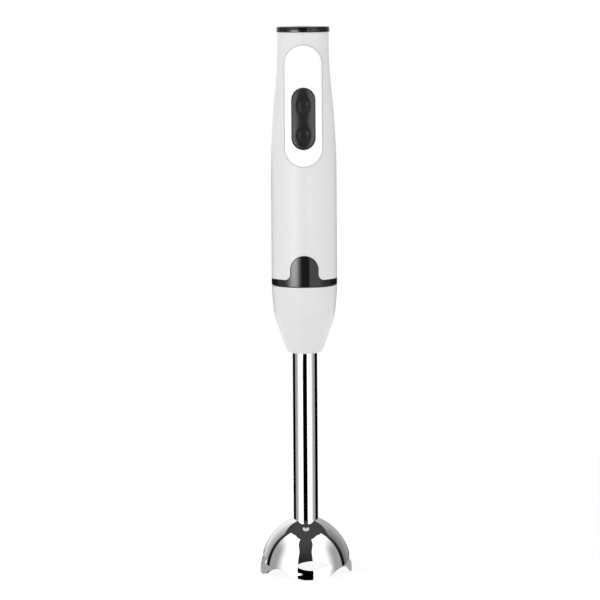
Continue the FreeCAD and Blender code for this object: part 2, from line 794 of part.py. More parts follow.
def tongue_outline(grow, low):
    half, fillet = driving("tongue_half_width") + grow, driving("tongue_fillet")
    foot = ring_top + grow
    straight_top = ring_top + driving("tongue_rise") - driving("tongue_half_width")
    return [(-half - fillet, low), (half + fillet, low), (half + fillet, foot, -fillet),
            (half, foot + fillet), (half, straight_top, HALF), (-half, straight_top),
            (-half, foot + fillet, -fillet), (-half - fillet, foot)]


def make_socket():
    screw_circle = driving("ring_screw_circle")
    base = new_body("base_ring")
    outer = driving("ring_radius")
    tongue_back = outer - driving("tongue_depth")
    ring(base, socket_radius + fit_gap, outer, ring_bottom, ring_top)
    pad(base, "XZ_Plane", [tongue_outline(as_size(0), ring_bottom + 1)], outer + 5)
    tongue_peak = ring_top + driving("tongue_rise") + 5
    groove(base, box(outer, outer + 10, ring_bottom, tongue_peak))
    groove(base, box(0, tongue_back, ring_top, tongue_peak))
    groove(base, box(0, socket_radius + fit_gap, ring_bottom - 1, ring_top + 1))
    head_radius = driving("ring_head_radius")
    hole = pocket(base, "XY_Plane", [circle(screw_circle, 0, screw_hole_radius)], 8,
                  shift=ring_bottom - 1, spin=45)
    head_hole = pocket(base, "XY_Plane", [circle(screw_circle, 0, head_radius + 0.15)], 3,
                       shift=ring_bottom - 1, spin=45)
    around(base, [hole, head_hole], driving("ring_screw_count"))

    screws = new_body("base_screws")
    head_low = ring_bottom + 0.25
    head_height = driving("ring_head_height")
    head = pad(screws, "XY_Plane", [circle(screw_circle, 0, head_radius)], head_height, shift=head_low,
               spin=45)
    shank = pad(screws, "XY_Plane", [circle(screw_circle, 0, screw_radius)], 11,
                shift=head_low + head_height - 0.05, spin=45)
    around(screws, [head, shank], driving("ring_screw_count"))

    socket = new_body("leg_socket")
    rim_bore = disc_radius - 2.1
    dog_hole = driving("dog_radius") + 0.8
    turn(socket, [(socket_bore, ring_bottom + 0.2), (socket_radius, ring_bottom + 0.2),
                  (socket_radius, socket_flange_bottom), (disc_radius, socket_flange_bottom),
                  (disc_radius, bracket_bottom), (rim_bore, bracket_bottom),
                  (rim_bore, socket_flange_top), (dog_hole, socket_flange_top),
                  (dog_hole, socket_flange_bottom), (socket_bore, socket_flange_bottom)])
    keyway = pocket(socket, "XY_Plane",
                    [box(socket_bore - 1, driving("key_radius") + slide_gap,
                         -driving("key_half_width") - slide_gap, driving("key_half_width") + slide_gap)],
                    spigot_top - joint + 1, shift=joint - 0.5)
    around(socket, [keyway], driving("key_count"))
    window = pocket(socket, "YZ_Plane", [box(-5, 5, socket_flange_top + 2, bracket_bottom - 2)],
                    2 * disc_radius)
    around(socket, [window], 6)


# ---------------------------------------------------------------- shells, cap and gland


def make_shell(label, side):
    """One half shell: side is 1 for +X and -1 for -X. Both are mirror images."""
    wall = driving("shell_wall")
    raised = driving("panel_raise")
    panel_top = top - driving("panel_top_drop")
    panel_low = panel_top - driving("panel_length")
    panel_middle = (panel_top + panel_low) / 2

    def flipped(outline_corners):
        """Mirror an outline into -X when needed, keeping its walk and turning its arcs over."""
        if side > 0:
            return outline_corners
        turned = []
        for corner in outline_corners:
            bend = corner[2] if len(corner) > 2 else None
            x = -as_size(corner[0])
            turned.append((x, corner[1]) if bend is None else (x, corner[1], -as_size(bend)))
        return turned

    body = new_body(label)
    turn(body, flipped(handle_outline(as_size(0), shell_bottom, shell_top)), angle=180)
    half = driving("panel_half_width")
    straight = driving("panel_length") / 2 - half
    quarter = half * math.sqrt(0.5)
    pad(body, "XZ_Plane",
        [flipped([(0, panel_middle - straight - half, half),
                  (quarter, panel_middle - straight - quarter, half),
                  (half, panel_middle - straight), (half, panel_middle + straight, half),
                  (quarter, panel_middle + straight + quarter, half),
                  (0, panel_middle + straight + half)])],
        driving("body_radius") + 5)
    reach = driving("body_radius") + 12
    groove(body, flipped(outside_of(handle_outline(raised, shell_bottom, shell_top), reach)))
    groove(body, flipped(handle_outline(-wall, shell_bottom - 1, shell_top + 1)))

    boss_circle = driving("ring_screw_circle")
    rib_low = derived(f"{label}_rib_low", socket_flange_bottom - fit_gap - driving("rib_height"))
    for turned_by in (45, -45):
        pad(body, "XY_Plane", [circle(boss_circle * side, 0, driving("boss_radius"))],
            rib_low - shell_bottom, shift=shell_bottom, spin=turned_by)
    rib_bore = inner_radius - driving("rib_depth")
    for low in (rib_low, bracket_top + fit_gap):
        turn(body, flipped(box(rib_bore, inner_radius + 0.5, low, low + driving("rib_height"))),
             angle=180)
    for turned_by in (45, -45):
        pocket(body, "XY_Plane", [circle(boss_circle * side, 0, screw_radius)], 12,
               shift=shell_bottom - 1, spin=turned_by)

    frame_low = button_middle - driving("button_half_length") + 1
    frame_high = button_middle + driving("button_half_length") - 1
    rail = derived(f"{label}_rail", driving("board_half_width") - 0.9)
    slot_front = driving("frame_thick") + 0.15
    slot_back = driving("board_thick") + 0.15
    pad(body, "XZ_Plane", [flipped([(rail, frame_low), (inner_radius - 0.1, frame_low),
                                    (inner_radius - 2.8, frame_high), (rail, frame_high)])],
        slot_front + slot_back + 3, shift=-slot_back - 1.5)
    pocket(body, "XZ_Plane", [flipped(box(rail - 1, driving("board_half_width") + 0.2, frame_low - 1,
                                          frame_high + 1))],
           slot_front + slot_back, shift=-slot_back)

    pocket(body, "XZ_Plane", [stadium(driving("button_half_width") + driving("button_side_gap"),
                                      driving("button_half_length") + driving("button_end_gap"),
                                      button_middle)], driving("body_radius") + 5, shift=8)
    pocket(body, "XZ_Plane", [tongue_outline(fit_gap, shell_bottom - 1)],
           driving("body_radius") + 5, shift=10)

    pitch, width = driving("vent_pitch"), driving("vent_half_width")
    for step in range(DRIVING["vent_count"]):
        middle = pitch * (step + 0.5)
        for low in (socket_flange_top + 1, shoulder + 62):
            pocket(body, "XZ_Plane",
                   [flipped(box(middle - width, middle + width, low, low + driving("vent_height")))],
                   driving("body_radius") + 5, shift=-driving("body_radius") - 10)


def make_cap():
    cap = new_body("top_cap")
    radius, height = driving("cap_radius"), driving("cap_height")
    base = shell_top + fit_gap
    edge = driving("cap_edge_radius")
    rim_top = derived("rim_top", top - 0.35)
    gland_radius = derived("gland_radius", driving("gland_bore") + driving("gland_wall"))
    hole = gland_radius + 0.02
    skirt_radius = driving("waist_radius") - driving("shell_wall") - fit_gap
    skirt_bore = skirt_radius - driving("cap_skirt")
    skirt_low = base - driving("cap_skirt_depth")
    line = base + height * 0.4
    turn(cap, [(hole, base + 2.2), (skirt_bore, base + 2.2), (skirt_bore, skirt_low),
               (skirt_radius, skirt_low), (skirt_radius, base), (radius - 0.3, base),
               (radius, base + 0.3), (radius, line), (radius - 0.35, line + 0.15),
               (radius - 0.35, line + 0.35), (radius, line + 0.5), (radius, rim_top - edge, edge),
               (radius - edge, rim_top, 280), (hole, top)])
    saddle = driving("clamp_half_width")
    saddle_low = base - 25
    leg, bridge = saddle - 3, saddle_low + 12
    pad(cap, "XZ_Plane",
        [[(-saddle, saddle_low), (saddle, saddle_low), (saddle, base + 3), (leg, base + 3),
          (leg, bridge), (-leg, bridge), (-leg, base + 3), (-saddle, base + 3)]], 3, shift=-6.6)
    bolt = driving("clamp_screw_spacing")
    bolt_z = derived("bolt_z", saddle_low + 5)
    for x in (-bolt, bolt):
        pocket(cap, "XZ_Plane", [circle(x, bolt_z, screw_radius)], 5, shift=-7.6)

    gland = new_body("cord_gland")
    flange = driving("gland_flange")
    turn(gland, [(driving("gland_bore"), base - 2), (flange, base - 2), (flange, base + 2.2),
                 (gland_radius, base + 2.2), (gland_radius, top - 0.15), (driving("gland_bore"), top - 0.15)])

    bar = new_body("cord_clamp")
    pad(bar, "XZ_Plane", [box(-saddle, saddle, bolt_z - 3, bolt_z + 3), circle(-bolt, bolt_z, screw_hole_radius),
                          circle(bolt, bolt_z, screw_hole_radius)], 2.8, shift=3.6)
    screws = new_body("clamp_screws")
    for x in (-bolt, bolt):
        pad(screws, "XZ_Plane", [circle(x, bolt_z, driving("clamp_head_radius"))], 1.6, shift=6.4)
        pad(screws, "XZ_Plane", [circle(x, bolt_z, screw_radius)], 12.6, shift=-6.2)


# ---------------------------------------------------------------- button, frame and board


def make_button():
    half, length = driving("button_half_width"), driving("button_half_length")
    back = driving("button_pad_back")
    blank = doc.addObject("PartDesign::Body", "pad_blank")
    pad(blank, "XZ_Plane", [stadium(half, length, button_middle)],
        driving("body_radius") + 5 - back, shift=back)
    skin = handle_outline(driving("button_raise"), shell_bottom, shell_top)
    groove(blank, outside_of(skin, driving("body_radius") + 12))
    scoops = []
    for step in (-1, 1):
        scoop = doc.addObject("Part::Sphere", "scoop")
        scoop.setExpression("Radius", driving("scoop_radius").text)
        # the button's face leans back towards the top, by the handle's own taper
        lean = driving("scoop_offset") * taper_sine * 0.65 * step
        face = driving("body_radius") - 0.92 - lean
        place(scoop, 0, -(face + driving("scoop_radius") - driving("scoop_depth")),
              button_middle + driving("scoop_offset") * step)
        scoops.append(scoop)
    tools = doc.addObject("Part::Compound", "scoops")
    tools.Links = scoops
    soft = doc.addObject("Part::Cut", "button_pad")
    soft.Label = "button_pad"
    soft.Base = blank
    soft.Tool = tools
    pieces.append(soft)

    pin = driving("pin_radius")
    thick = driving("carrier_thick")
    plate_back = derived("plate_back", back - thick)
    hub_half = derived("hub_half", half - 1.1)
    carrier = new_body("button_carrier")
    pad(carrier, "XZ_Plane", [stadium(half, length, button_middle)], thick, shift=plate_back)
    pad(carrier, "XZ_Plane", [box(-hub_half, hub_half, button_middle - 3, button_middle + 3)],
        plate_back - pivot_depth + 2.3, shift=pivot_depth - 2.3)
    gap_to_switch = driving("switch_depth") + 0.8 + 1.2
    for step in (-1, 1):
        middle = button_middle + switch_offset * step
        pad(carrier, "XZ_Plane", [box(-1.6, 1.6, middle - 1.6, middle + 1.6)],
            plate_back - gap_to_switch, shift=gap_to_switch)
    pocket(carrier, "YZ_Plane", [circle(-pivot_depth, button_middle, pin + running_gap)], 2 * half,
           both=True)

    cheek_in = hub_half + 0.8
    cheek_out = cheek_in + 2.2
    pivot = new_body("rocker_pin")
    pad(pivot, "YZ_Plane", [circle(-pivot_depth, button_middle, pin)], 2 * cheek_out, both=True)

    frame = new_body("switch_frame")
    frame_thick = driving("frame_thick")
    frame_low = derived("frame_low", button_middle - length + 0.6)
    frame_high = derived("frame_high", button_middle + length + 3)
    wide, switch = driving("board_half_width"), driving("switch_half") + 0.3
    windows = [box(-switch, switch, button_middle + switch_offset * step - switch,
                   button_middle + switch_offset * step + switch) for step in (-1, 1)]
    pad(frame, "XZ_Plane", [box(-wide, wide, frame_low, frame_high)] + windows, frame_thick)
    for step in (-1, 1):
        inner, outer = (cheek_in, cheek_out) if step > 0 else (-cheek_out, -cheek_in)
        pad(frame, "XZ_Plane", [box(inner, outer, button_middle - 5.5, button_middle + 5.5)],
            plate_back - 0.6 - frame_thick, shift=frame_thick)
    pocket(frame, "YZ_Plane", [circle(-pivot_depth, button_middle, pin)], 3 * cheek_out, both=True)

    board = new_body("circuit_board")
    thick_board = driving("board_thick")
    pad(board, "XZ_Plane", [box(-wide, wide, frame_low, frame_high)], thick_board, shift=-thick_board)
    half_switch = driving("switch_half")
    for label, step in (("slow_switch", -1), ("fast_switch", 1)):
        middle = button_middle + switch_offset * step
        item = new_body(label)
        pad(item, "XZ_Plane", [box(-half_switch, half_switch, middle - half_switch,
                                   middle + half_switch)], driving("switch_depth"))
        pad(item, "XZ_Plane", [circle(0, middle, 2)], 0.8, shift=driving("switch_depth"))

    # every part behind the board stands on its rear face
    bridge = new_body("rectifier")
    pad(bridge, "XZ_Plane", [box(-6, 6, frame_low + 5, frame_low + 15)], 4.4, shift=-thick_board - 4.4)
    drum = new_body("smoothing_capacitor")
    drum_radius, drum_low = 4.2, frame_low + 19
    pad(drum, "XY_Plane", [circle(0, thick_board + drum_radius, drum_radius)],
        frame_high - 12.2 - drum_low, shift=drum_low)
    coil = new_body("choke")
    turn(coil, box(1.6, 4.2, 0, 4.5))
    place(coil, 0, thick_board + 4.5, frame_high - 6, Vector(1, 0, 0), 90)

    gap = plate_back - frame_thick
    spots = [(0, -frame_thick, button_middle + spring_offset * step) for step in (-1, 1)]
    coil_spring("button_springs", spots, driving("spring_radius"), driving("spring_wire"), gap, 6,
                Vector(1, 0, 0), 90)


# ---------------------------------------------------------------- motor


def make_motor():
    radius, spacing = driving("motor_radius"), driving("motor_screw_spacing")
    bolt, head = driving("motor_screw_radius"), driving("motor_head_radius")
    bracket = new_body("motor_bracket")
    ring(bracket, bearing_radius + 0.5, disc_radius, bracket_bottom, bracket_top)
    for x in (-spacing, spacing):
        pocket(bracket, "XY_Plane", [circle(x, 0, bolt + 0.1)], 6, shift=bracket_bottom - 1)
        pocket(bracket, "XY_Plane", [circle(x, 0, head + 0.2)], 3.2, shift=bracket_bottom - 1)
    vent = pocket(bracket, "XY_Plane", [circle(0, 14.5, 2.2)], 6, shift=bracket_bottom - 1)
    around(bracket, [vent], 6)

    screws = new_body("motor_screws")
    for x in (-spacing, spacing):
        pad(screws, "XY_Plane", [circle(x, 0, head)], 1.8, shift=bracket_bottom + 0.4)
        pad(screws, "XY_Plane", [circle(x, 0, bolt)], can_bottom - bracket_bottom,
            shift=bracket_bottom + 2.2)

    ring(new_body("motor_mount_low"), spacing + 2, radius - 0.5, bracket_top, can_bottom)
    ring(new_body("motor_mount_high"), radius, inner_radius - 0.25, can_top - 9.5, can_top - 2.5)

    can = new_body("motor_can")
    wall = driving("motor_wall")
    turn(can, [(bearing_radius, can_bottom), (radius, can_bottom), (radius, can_top),
               (can_bore, can_top), (can_bore, can_bottom + wall), (bearing_radius, can_bottom + wall)])
    for x in (-spacing, spacing):
        pocket(can, "XY_Plane", [circle(x, 0, bolt)], 4, shift=can_bottom - 1)
    ring(new_body("front_bearing"), shaft_bore, bearing_radius, can_bottom - 1.3, can_bottom + 4.5)

    core_half = driving("core_length") / 2
    core_low = derived("core_low", armature_middle - core_half)
    core_high = derived("core_high", armature_middle + core_half)
    magnets = new_body("motor_magnets")
    one = turn(magnets, box(-(can_bore - 0.05), -magnet_bore, core_low - 2, core_high + 2),
               angle=driving("magnet_angle"), plane="YZ_Plane")
    mirror(magnets, [one], "XZ_Plane")

    core = new_body("armature_core")
    ring(core, shaft_radius, armature_radius, core_low, core_high)
    slot_low, slot_high = shaft_radius + 3.2, armature_radius - 1.4
    slot = pocket(core, "XY_Plane",
                  [[(slot_low, -1.7), (slot_high, -2.6), (slot_high, -0.8), (armature_radius + 1, -0.8),
                    (armature_radius + 1, 0.8), (slot_high, 0.8), (slot_high, 2.6), (slot_low, 1.7)]],
                  driving("core_length"), shift=core_low)
    around(core, [slot], driving("slot_count"))

    coils = new_body("armature_windings")
    ends = 4
    ring(coils, shaft_radius + 1.6, slot_high - 0.2, core_low - ends, core_low)
    ring(coils, shaft_radius + 1.6, slot_high - 0.2, core_high, core_high + ends)
    bar = pad(coils, "XY_Plane", [[(slot_low + 0.2, -1.4), (slot_high - 0.4, -2.2),
                                   (slot_high - 0.4, 2.2), (slot_low + 0.2, 1.4)]],
              driving("core_length"), shift=core_low)
    around(coils, [bar], driving("slot_count"))

    commutator = new_body("commutator")
    copper_low = derived("copper_low", core_high + ends + 1.4)
    copper_high = derived("copper_high", copper_low + 7.5)
    outer = driving("commutator_radius")
    ring(commutator, shaft_radius, outer, copper_low, copper_high)
    slit = pocket(commutator, "XY_Plane", [box(outer - 0.8, outer + 1, -0.2, 0.2)], 9,
                  shift=copper_low - 1)
    around(commutator, [slit], driving("slot_count"))

    half = driving("brush_half_width")
    brush_middle = derived("brush_middle", (copper_low + copper_high) / 2 + 0.2)
    brush_end = outer + 7.2
    plate_low = derived("plate_low", can_top + 3.5)
    boss_top = derived("boss_top", plate_low + 8.5)
    brushes = new_body("carbon_brushes")
    square = box(-half, half, brush_middle - half, brush_middle + half)
    one = pad(brushes, "YZ_Plane", [square], brush_end - outer - 0.05, shift=outer + 0.05)
    around(brushes, [one], 2)
    holders = new_body("brush_holders")
    case = box(-half - 0.8, half + 0.8, brush_middle - half - 0.8, plate_low)
    one = pad(holders, "YZ_Plane", [case, box(-half - 0.05, half + 0.05, brush_middle - half - 0.05,
                                              brush_middle + half + 0.05)],
              can_bore - 1 - outer - 0.6, shift=outer + 0.6)
    around(holders, [one], 2)
    gap = can_bore - 1.2 - brush_end
    for_right = (brush_end, 0, brush_middle)
    coil_spring("brush_springs", [for_right], as_size(1.6), as_size(0.22), gap, 3, Vector(0, 1, 0), 90)
    left = doc.addObject("Part::Mirroring", "left_brush_spring")
    left.Source = pieces[-1].Links[0]
    left.Normal = Vector(1, 0, 0)
    pieces[-1].Links = pieces[-1].Links + [left]

    endbell = new_body("motor_endbell")
    boss = bearing_radius + 2.5
    turn(endbell, [(can_bore, can_top), (radius, can_top), (radius, plate_low + 3), (boss, plate_low + 3),
                   (boss, boss_top), (bearing_radius, boss_top), (bearing_radius, plate_low),
                   (can_bore, plate_low)])
    ring(new_body("rear_bearing"), shaft_bore, bearing_radius, plate_low + 2.5, boss_top)

    shaft_low = derived("shaft_low", dog_bottom + 8.6)
    shaft = new_body("motor_shaft")
    turn(shaft, box(0, shaft_radius, shaft_low, boss_top + 0.5))

    dog = new_body("drive_dog")
    dog_radius = driving("dog_radius")
    neck_top = derived("neck_top", shaft_low + 9)
    cup = driving("dog_hub_radius") + 0.4
    turn(dog, [(cup, dog_bottom), (dog_radius, dog_bottom), (dog_radius, shaft_low + 1.5),
               (dog_radius - 2.4, shaft_low + 1.5), (dog_radius - 2.4, neck_top), (shaft_radius, neck_top),
               (shaft_radius, shaft_low), (0, shaft_low), (0, shaft_low - 0.6), (cup, shaft_low - 0.6)])
    slot_half = driving("dog_wing_half_width") + 0.4
    slot = pocket(dog, "XY_Plane", [box(cup - 1, driving("dog_wing_radius") + 0.4, -slot_half, slot_half)],
                  shaft_low - 0.6 - dog_bottom + 1, shift=dog_bottom - 1)
    around(dog, [slot], driving("dog_wing_count"))

    fan = new_body("cooling_fan")
    fan_low = neck_top + 0.2
    fan_high = fan_low + driving("fan_height")
    disc_low = fan_high - driving("fan_disc_thick")
    hub = shaft_radius + driving("fan_hub_wall")
    turn(fan, [(shaft_radius, fan_low), (hub, fan_low), (hub, disc_low),
               (driving("fan_radius"), disc_low), (driving("fan_radius"), fan_high),
               (shaft_radius, fan_high)])
    vane = pad(fan, "XY_Plane", [box(hub - 0.5, driving("fan_radius") - 0.2, -0.45, 0.45)],
               driving("fan_height") - 1, shift=fan_low)
    around(fan, [vane], driving("fan_blade_count"))

    make_leads(plate_low)


def make_leads(plate_low):
    """Two short leads, each two straight runs joined by a tangent arc, soldered to the board."""
    lead_radius = 0.75
    bend_radius = 4.0
    start_z = plate_low.value + 3
    board_z = button_middle.value - DRIVING["button_half_length"] + 6
    back = DRIVING["board_thick"] + lead_radius
    leads = []
    for side in (-1, 1):
        points = [Vector(10.5 * side, 7, start_z), Vector(10.5 * side, 7, start_z + 6),
                  Vector(8.5 * side, back, board_z)]
        before = (points[0] - points[1]).normalize()
        after = (points[2] - points[1]).normalize()
        half_turn = before.getAngle(after) / 2
        cut = bend_radius / math.tan(half_turn)
        middle = points[1] + (before + after).normalize() * (bend_radius / math.sin(half_turn) - bend_radius)
        ends = (points[1] + before * cut, points[1] + after * cut)
        path = Part.Wire([Part.makeLine(points[0], ends[0]), Part.Arc(ends[0], middle, ends[1]).toShape(),
                          Part.makeLine(ends[1], points[2])])
        section = Part.Wire(Part.makeCircle(lead_radius, points[0], Vector(0, 0, 1)))
        leads.append(path.makePipeShell([section], True, True))
    item = doc.addObject("Part::Feature", "motor_leads")
    item.Label = "motor_leads"
    item.Shape = Part.makeCompound(leads)
    pieces.append(item)


# ---------------------------------------------------------------- build, check and write


def check_document():
    for item in doc.Objects:
        if "Invalid" in item.State or "Error" in item.State:
            raise RuntimeError(f"{item.Label} failed: {item.State}")
        if item.TypeId in ("PartDesign::Pocket", "PartDesign::Groove"):
            before = item.BaseFeature.Shape.Volume
            if item.Shape.Volume > before - 1e-3:
                raise RuntimeError(f"{item.Label} in {item.getParentGeoFeatureGroup().Label} cuts nothing")


def write_pieces():
    os.makedirs("parts", exist_ok=True)
    for item in pieces:
        shape = item.Shape
        if shape.isNull() or not shape.isValid() or not shape.Solids:
            raise RuntimeError(f"{item.Label} has no valid solid")
        shape.exportStep(os.path.join("parts", f"{item.Label}.step"))
        print(f"{item.Label:22s} {len(shape.Solids):3d} solids {shape.Volume / 1000:9.3f} cm3")


flange_low, pin_height = make_leg()
make_collar(pin_height)
make_blade(flange_low)
make_socket()
make_shell("right_shell", 1)
make_shell("left_shell", -1)
make_cap()
make_button()
make_motor()
doc.recompute()
check_document()
write_pieces()
print(len(pieces), "pieces")
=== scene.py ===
# %% [markdown]
# # A hand blender, finished for display
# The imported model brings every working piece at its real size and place. This lesson dresses it:
# the plastic skins, the mirror-polished leg and the soft button are made again as fine meshes,
# because they are what the eye reads, and every other piece keeps its shape and gets a finish.

# %% Load the frame
import json
import math
import bpy
import numpy as np
from mathutils import Euler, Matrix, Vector
from mathutils.geometry import delaunay_2d_cdt
from mathutils.kdtree import KDTree


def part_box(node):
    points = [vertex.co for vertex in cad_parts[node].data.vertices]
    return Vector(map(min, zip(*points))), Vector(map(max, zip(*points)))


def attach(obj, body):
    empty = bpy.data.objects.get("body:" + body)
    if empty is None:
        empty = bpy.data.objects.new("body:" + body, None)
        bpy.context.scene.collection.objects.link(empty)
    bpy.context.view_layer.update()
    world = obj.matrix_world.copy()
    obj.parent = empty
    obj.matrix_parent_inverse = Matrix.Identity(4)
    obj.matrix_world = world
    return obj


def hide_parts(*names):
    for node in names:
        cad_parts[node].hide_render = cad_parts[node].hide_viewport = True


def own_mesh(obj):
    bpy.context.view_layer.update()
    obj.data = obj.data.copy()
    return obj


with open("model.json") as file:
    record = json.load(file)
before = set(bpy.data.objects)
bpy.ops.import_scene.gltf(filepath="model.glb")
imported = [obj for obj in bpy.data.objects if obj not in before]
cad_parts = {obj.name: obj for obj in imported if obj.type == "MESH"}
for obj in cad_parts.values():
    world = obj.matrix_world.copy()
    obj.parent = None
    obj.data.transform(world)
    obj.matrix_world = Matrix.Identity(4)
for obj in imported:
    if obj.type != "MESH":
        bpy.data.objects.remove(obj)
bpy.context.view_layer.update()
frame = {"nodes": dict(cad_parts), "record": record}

nodes = frame["nodes"]
MM = 0.001

# %% [markdown]
# ## Camera
# A tall thin object wants a long lens from well back, so that its sides stay parallel. The camera
# stands above the middle and looks slightly down, which opens the curve of the bell's rim.

# %% Place the camera
CAMERA_DISTANCE = 1.8
CAMERA_HEIGHT = 0.4
AIM = Vector((-0.0031, 0.0, 0.1886))
LENS_MM, SENSOR_MM = 159, 36
ROLL = math.radians(-0.38)
CLIP_NEAR, CLIP_FAR = 0.05, 30


def put_in_scene(name, data):
    item = bpy.data.objects.new(name, data)
    bpy.context.scene.collection.objects.link(item)
    return item


def place_camera():
    camera = put_in_scene("camera", bpy.data.cameras.new("camera"))
    camera.location = (AIM.x, -CAMERA_DISTANCE, CAMERA_HEIGHT)
    toward = AIM - camera.location
    camera.rotation_mode = "QUATERNION"
    level_view = toward.to_track_quat("-Z", "Y")
    camera.rotation_quaternion = level_view @ Euler((0, 0, ROLL)).to_quaternion()
    camera.data.lens = LENS_MM
    camera.data.sensor_width = SENSOR_MM
    camera.data.clip_start, camera.data.clip_end = CLIP_NEAR, CLIP_FAR
    bpy.context.scene.camera = camera
    bpy.context.scene.view_settings.view_transform = "Standard"
    return math.degrees(math.atan2(-toward.z, toward.y))


print("the camera looks down by", round(place_camera(), 2), "degrees")

# %% [markdown]
# ## Node helpers
# Materials and the world are trees of small sums. These helpers write one sum each, and accept a
# socket or a plain number, so that a tree reads like the formula it is.


# %% Shader sums
def link_in(tree, socket, thing):
    """Connect a socket, or set its value."""
    if isinstance(thing, bpy.types.NodeSocket):
        tree.links.new(thing, socket)
    else:
        socket.default_value = thing


def maths(tree, operation, *things, clamp=False):
    node = tree.nodes.new("ShaderNodeMath")
    node.operation = operation
    node.use_clamp = clamp
    for socket, thing in zip(node.inputs, things):
        link_in(tree, socket, thing)
    return node.outputs[0]


def ramp(tree, thing, start, end, low=0.0, high=1.0):
    """A soft change from low to high as a value goes from start to end."""
    node = tree.nodes.new("ShaderNodeMapRange")
    node.interpolation_type = "SMOOTHSTEP"
    for name, value in (("Value", thing), ("From Min", start), ("From Max", end),
                        ("To Min", low), ("To Max", high)):
        link_in(tree, node.inputs[name], value)
    return node.outputs[0]


def vector_maths(tree, operation, *things):
    node = tree.nodes.new("ShaderNodeVectorMath")
    node.operation = operation
    for socket, thing in zip(node.inputs, things):
        link_in(tree, socket, thing)
    return node.outputs["Value" if operation in ("DOT_PRODUCT", "LENGTH") else "Vector"]


def blend_colours(tree, factor, first, second):
    node = tree.nodes.new("ShaderNodeMix")
    node.data_type = "RGBA"
    # a Mix node lists the sockets of every data type; 6 and 7 in and 2 out are its colours
    link_in(tree, node.inputs[0], factor)
    link_in(tree, node.inputs[6], first)
    link_in(tree, node.inputs[7], second)
    return node.outputs[2]


def times(tree, *things):
    total = things[0]
    for thing in things[1:]:
        total = maths(tree, "MULTIPLY", total, thing)
    return total


def split(tree, thing):
    """The x, y and z of a vector."""
    node = tree.nodes.new("ShaderNodeSeparateXYZ")
    tree.links.new(thing, node.inputs[0])
    return node.outputs


def own_place(tree):
    """Where a point lies on its own piece, which is also its place in the model."""
    return tree.nodes.new("ShaderNodeTexCoord").outputs["Object"]


# %% [markdown]
# ## Studio
# White plastic and mirror steel are lit in opposite ways. Plastic takes broad soft light. Polished
# steel shows no light of its own, only what stands around it: bright white boxes to either side,
# and dark gaps between them that draw its form. The world below is that studio, worked out from
# the direction a ray looks in: two tall soft boxes left and right, darkness overhead, behind and
# in the narrow gap where the camera stands. A camera ray meets a plain pale backdrop instead.

# %% Build the world
# angles in degrees: 0 is towards the camera and 180 straight behind; elevation 0 is the horizon
SHIFT = 2.0              # the dark gap sits this far to the camera's left
GAP_HALF, GAP_FLARE = 20.0, 13.0
FLARE_FROM, FLARE_TO = 38.0, 62.0                   # the gap widens between these elevations
GAP_SOFT, SOFT, SIDE_SOFT = 0.8, 1.0, 0.2           # how far the edges are blurred
BOX_END = 105.0
BOX_TOP, TOP_DROP, DROP_FROM, DROP_TO = 66.0, 9.0, 70.0, 112.0
BOX_POWER, BOX_FADE = 1.35, 0.97
FADE_SIDE_FROM, FADE_SIDE_TO = 50.0, 86.0           # each box dims towards its far end
FADE_UP_FROM, FADE_UP_TO = 25.0, 58.0               # but not near its top
REAR_START, REAR_FULL, REAR_TOP = 115.0, 165.0, 43.0
REAR_LEFT, REAR_RIGHT, REAR_SIDE = 1.0, 0.45, 0.38
REAR_LOW, REAR_BELOW = -3.0, -12.5
CEILING, CEILING_FROM = 0.065, -6.0
# sheens only gloss can see: power, direction, half width, lowest and highest elevation
SHEENS = ((9.0, -37.0, 30.0, -7.2, -3.5), (2.5, 54.0, 16.0, -1.5, 6.0))


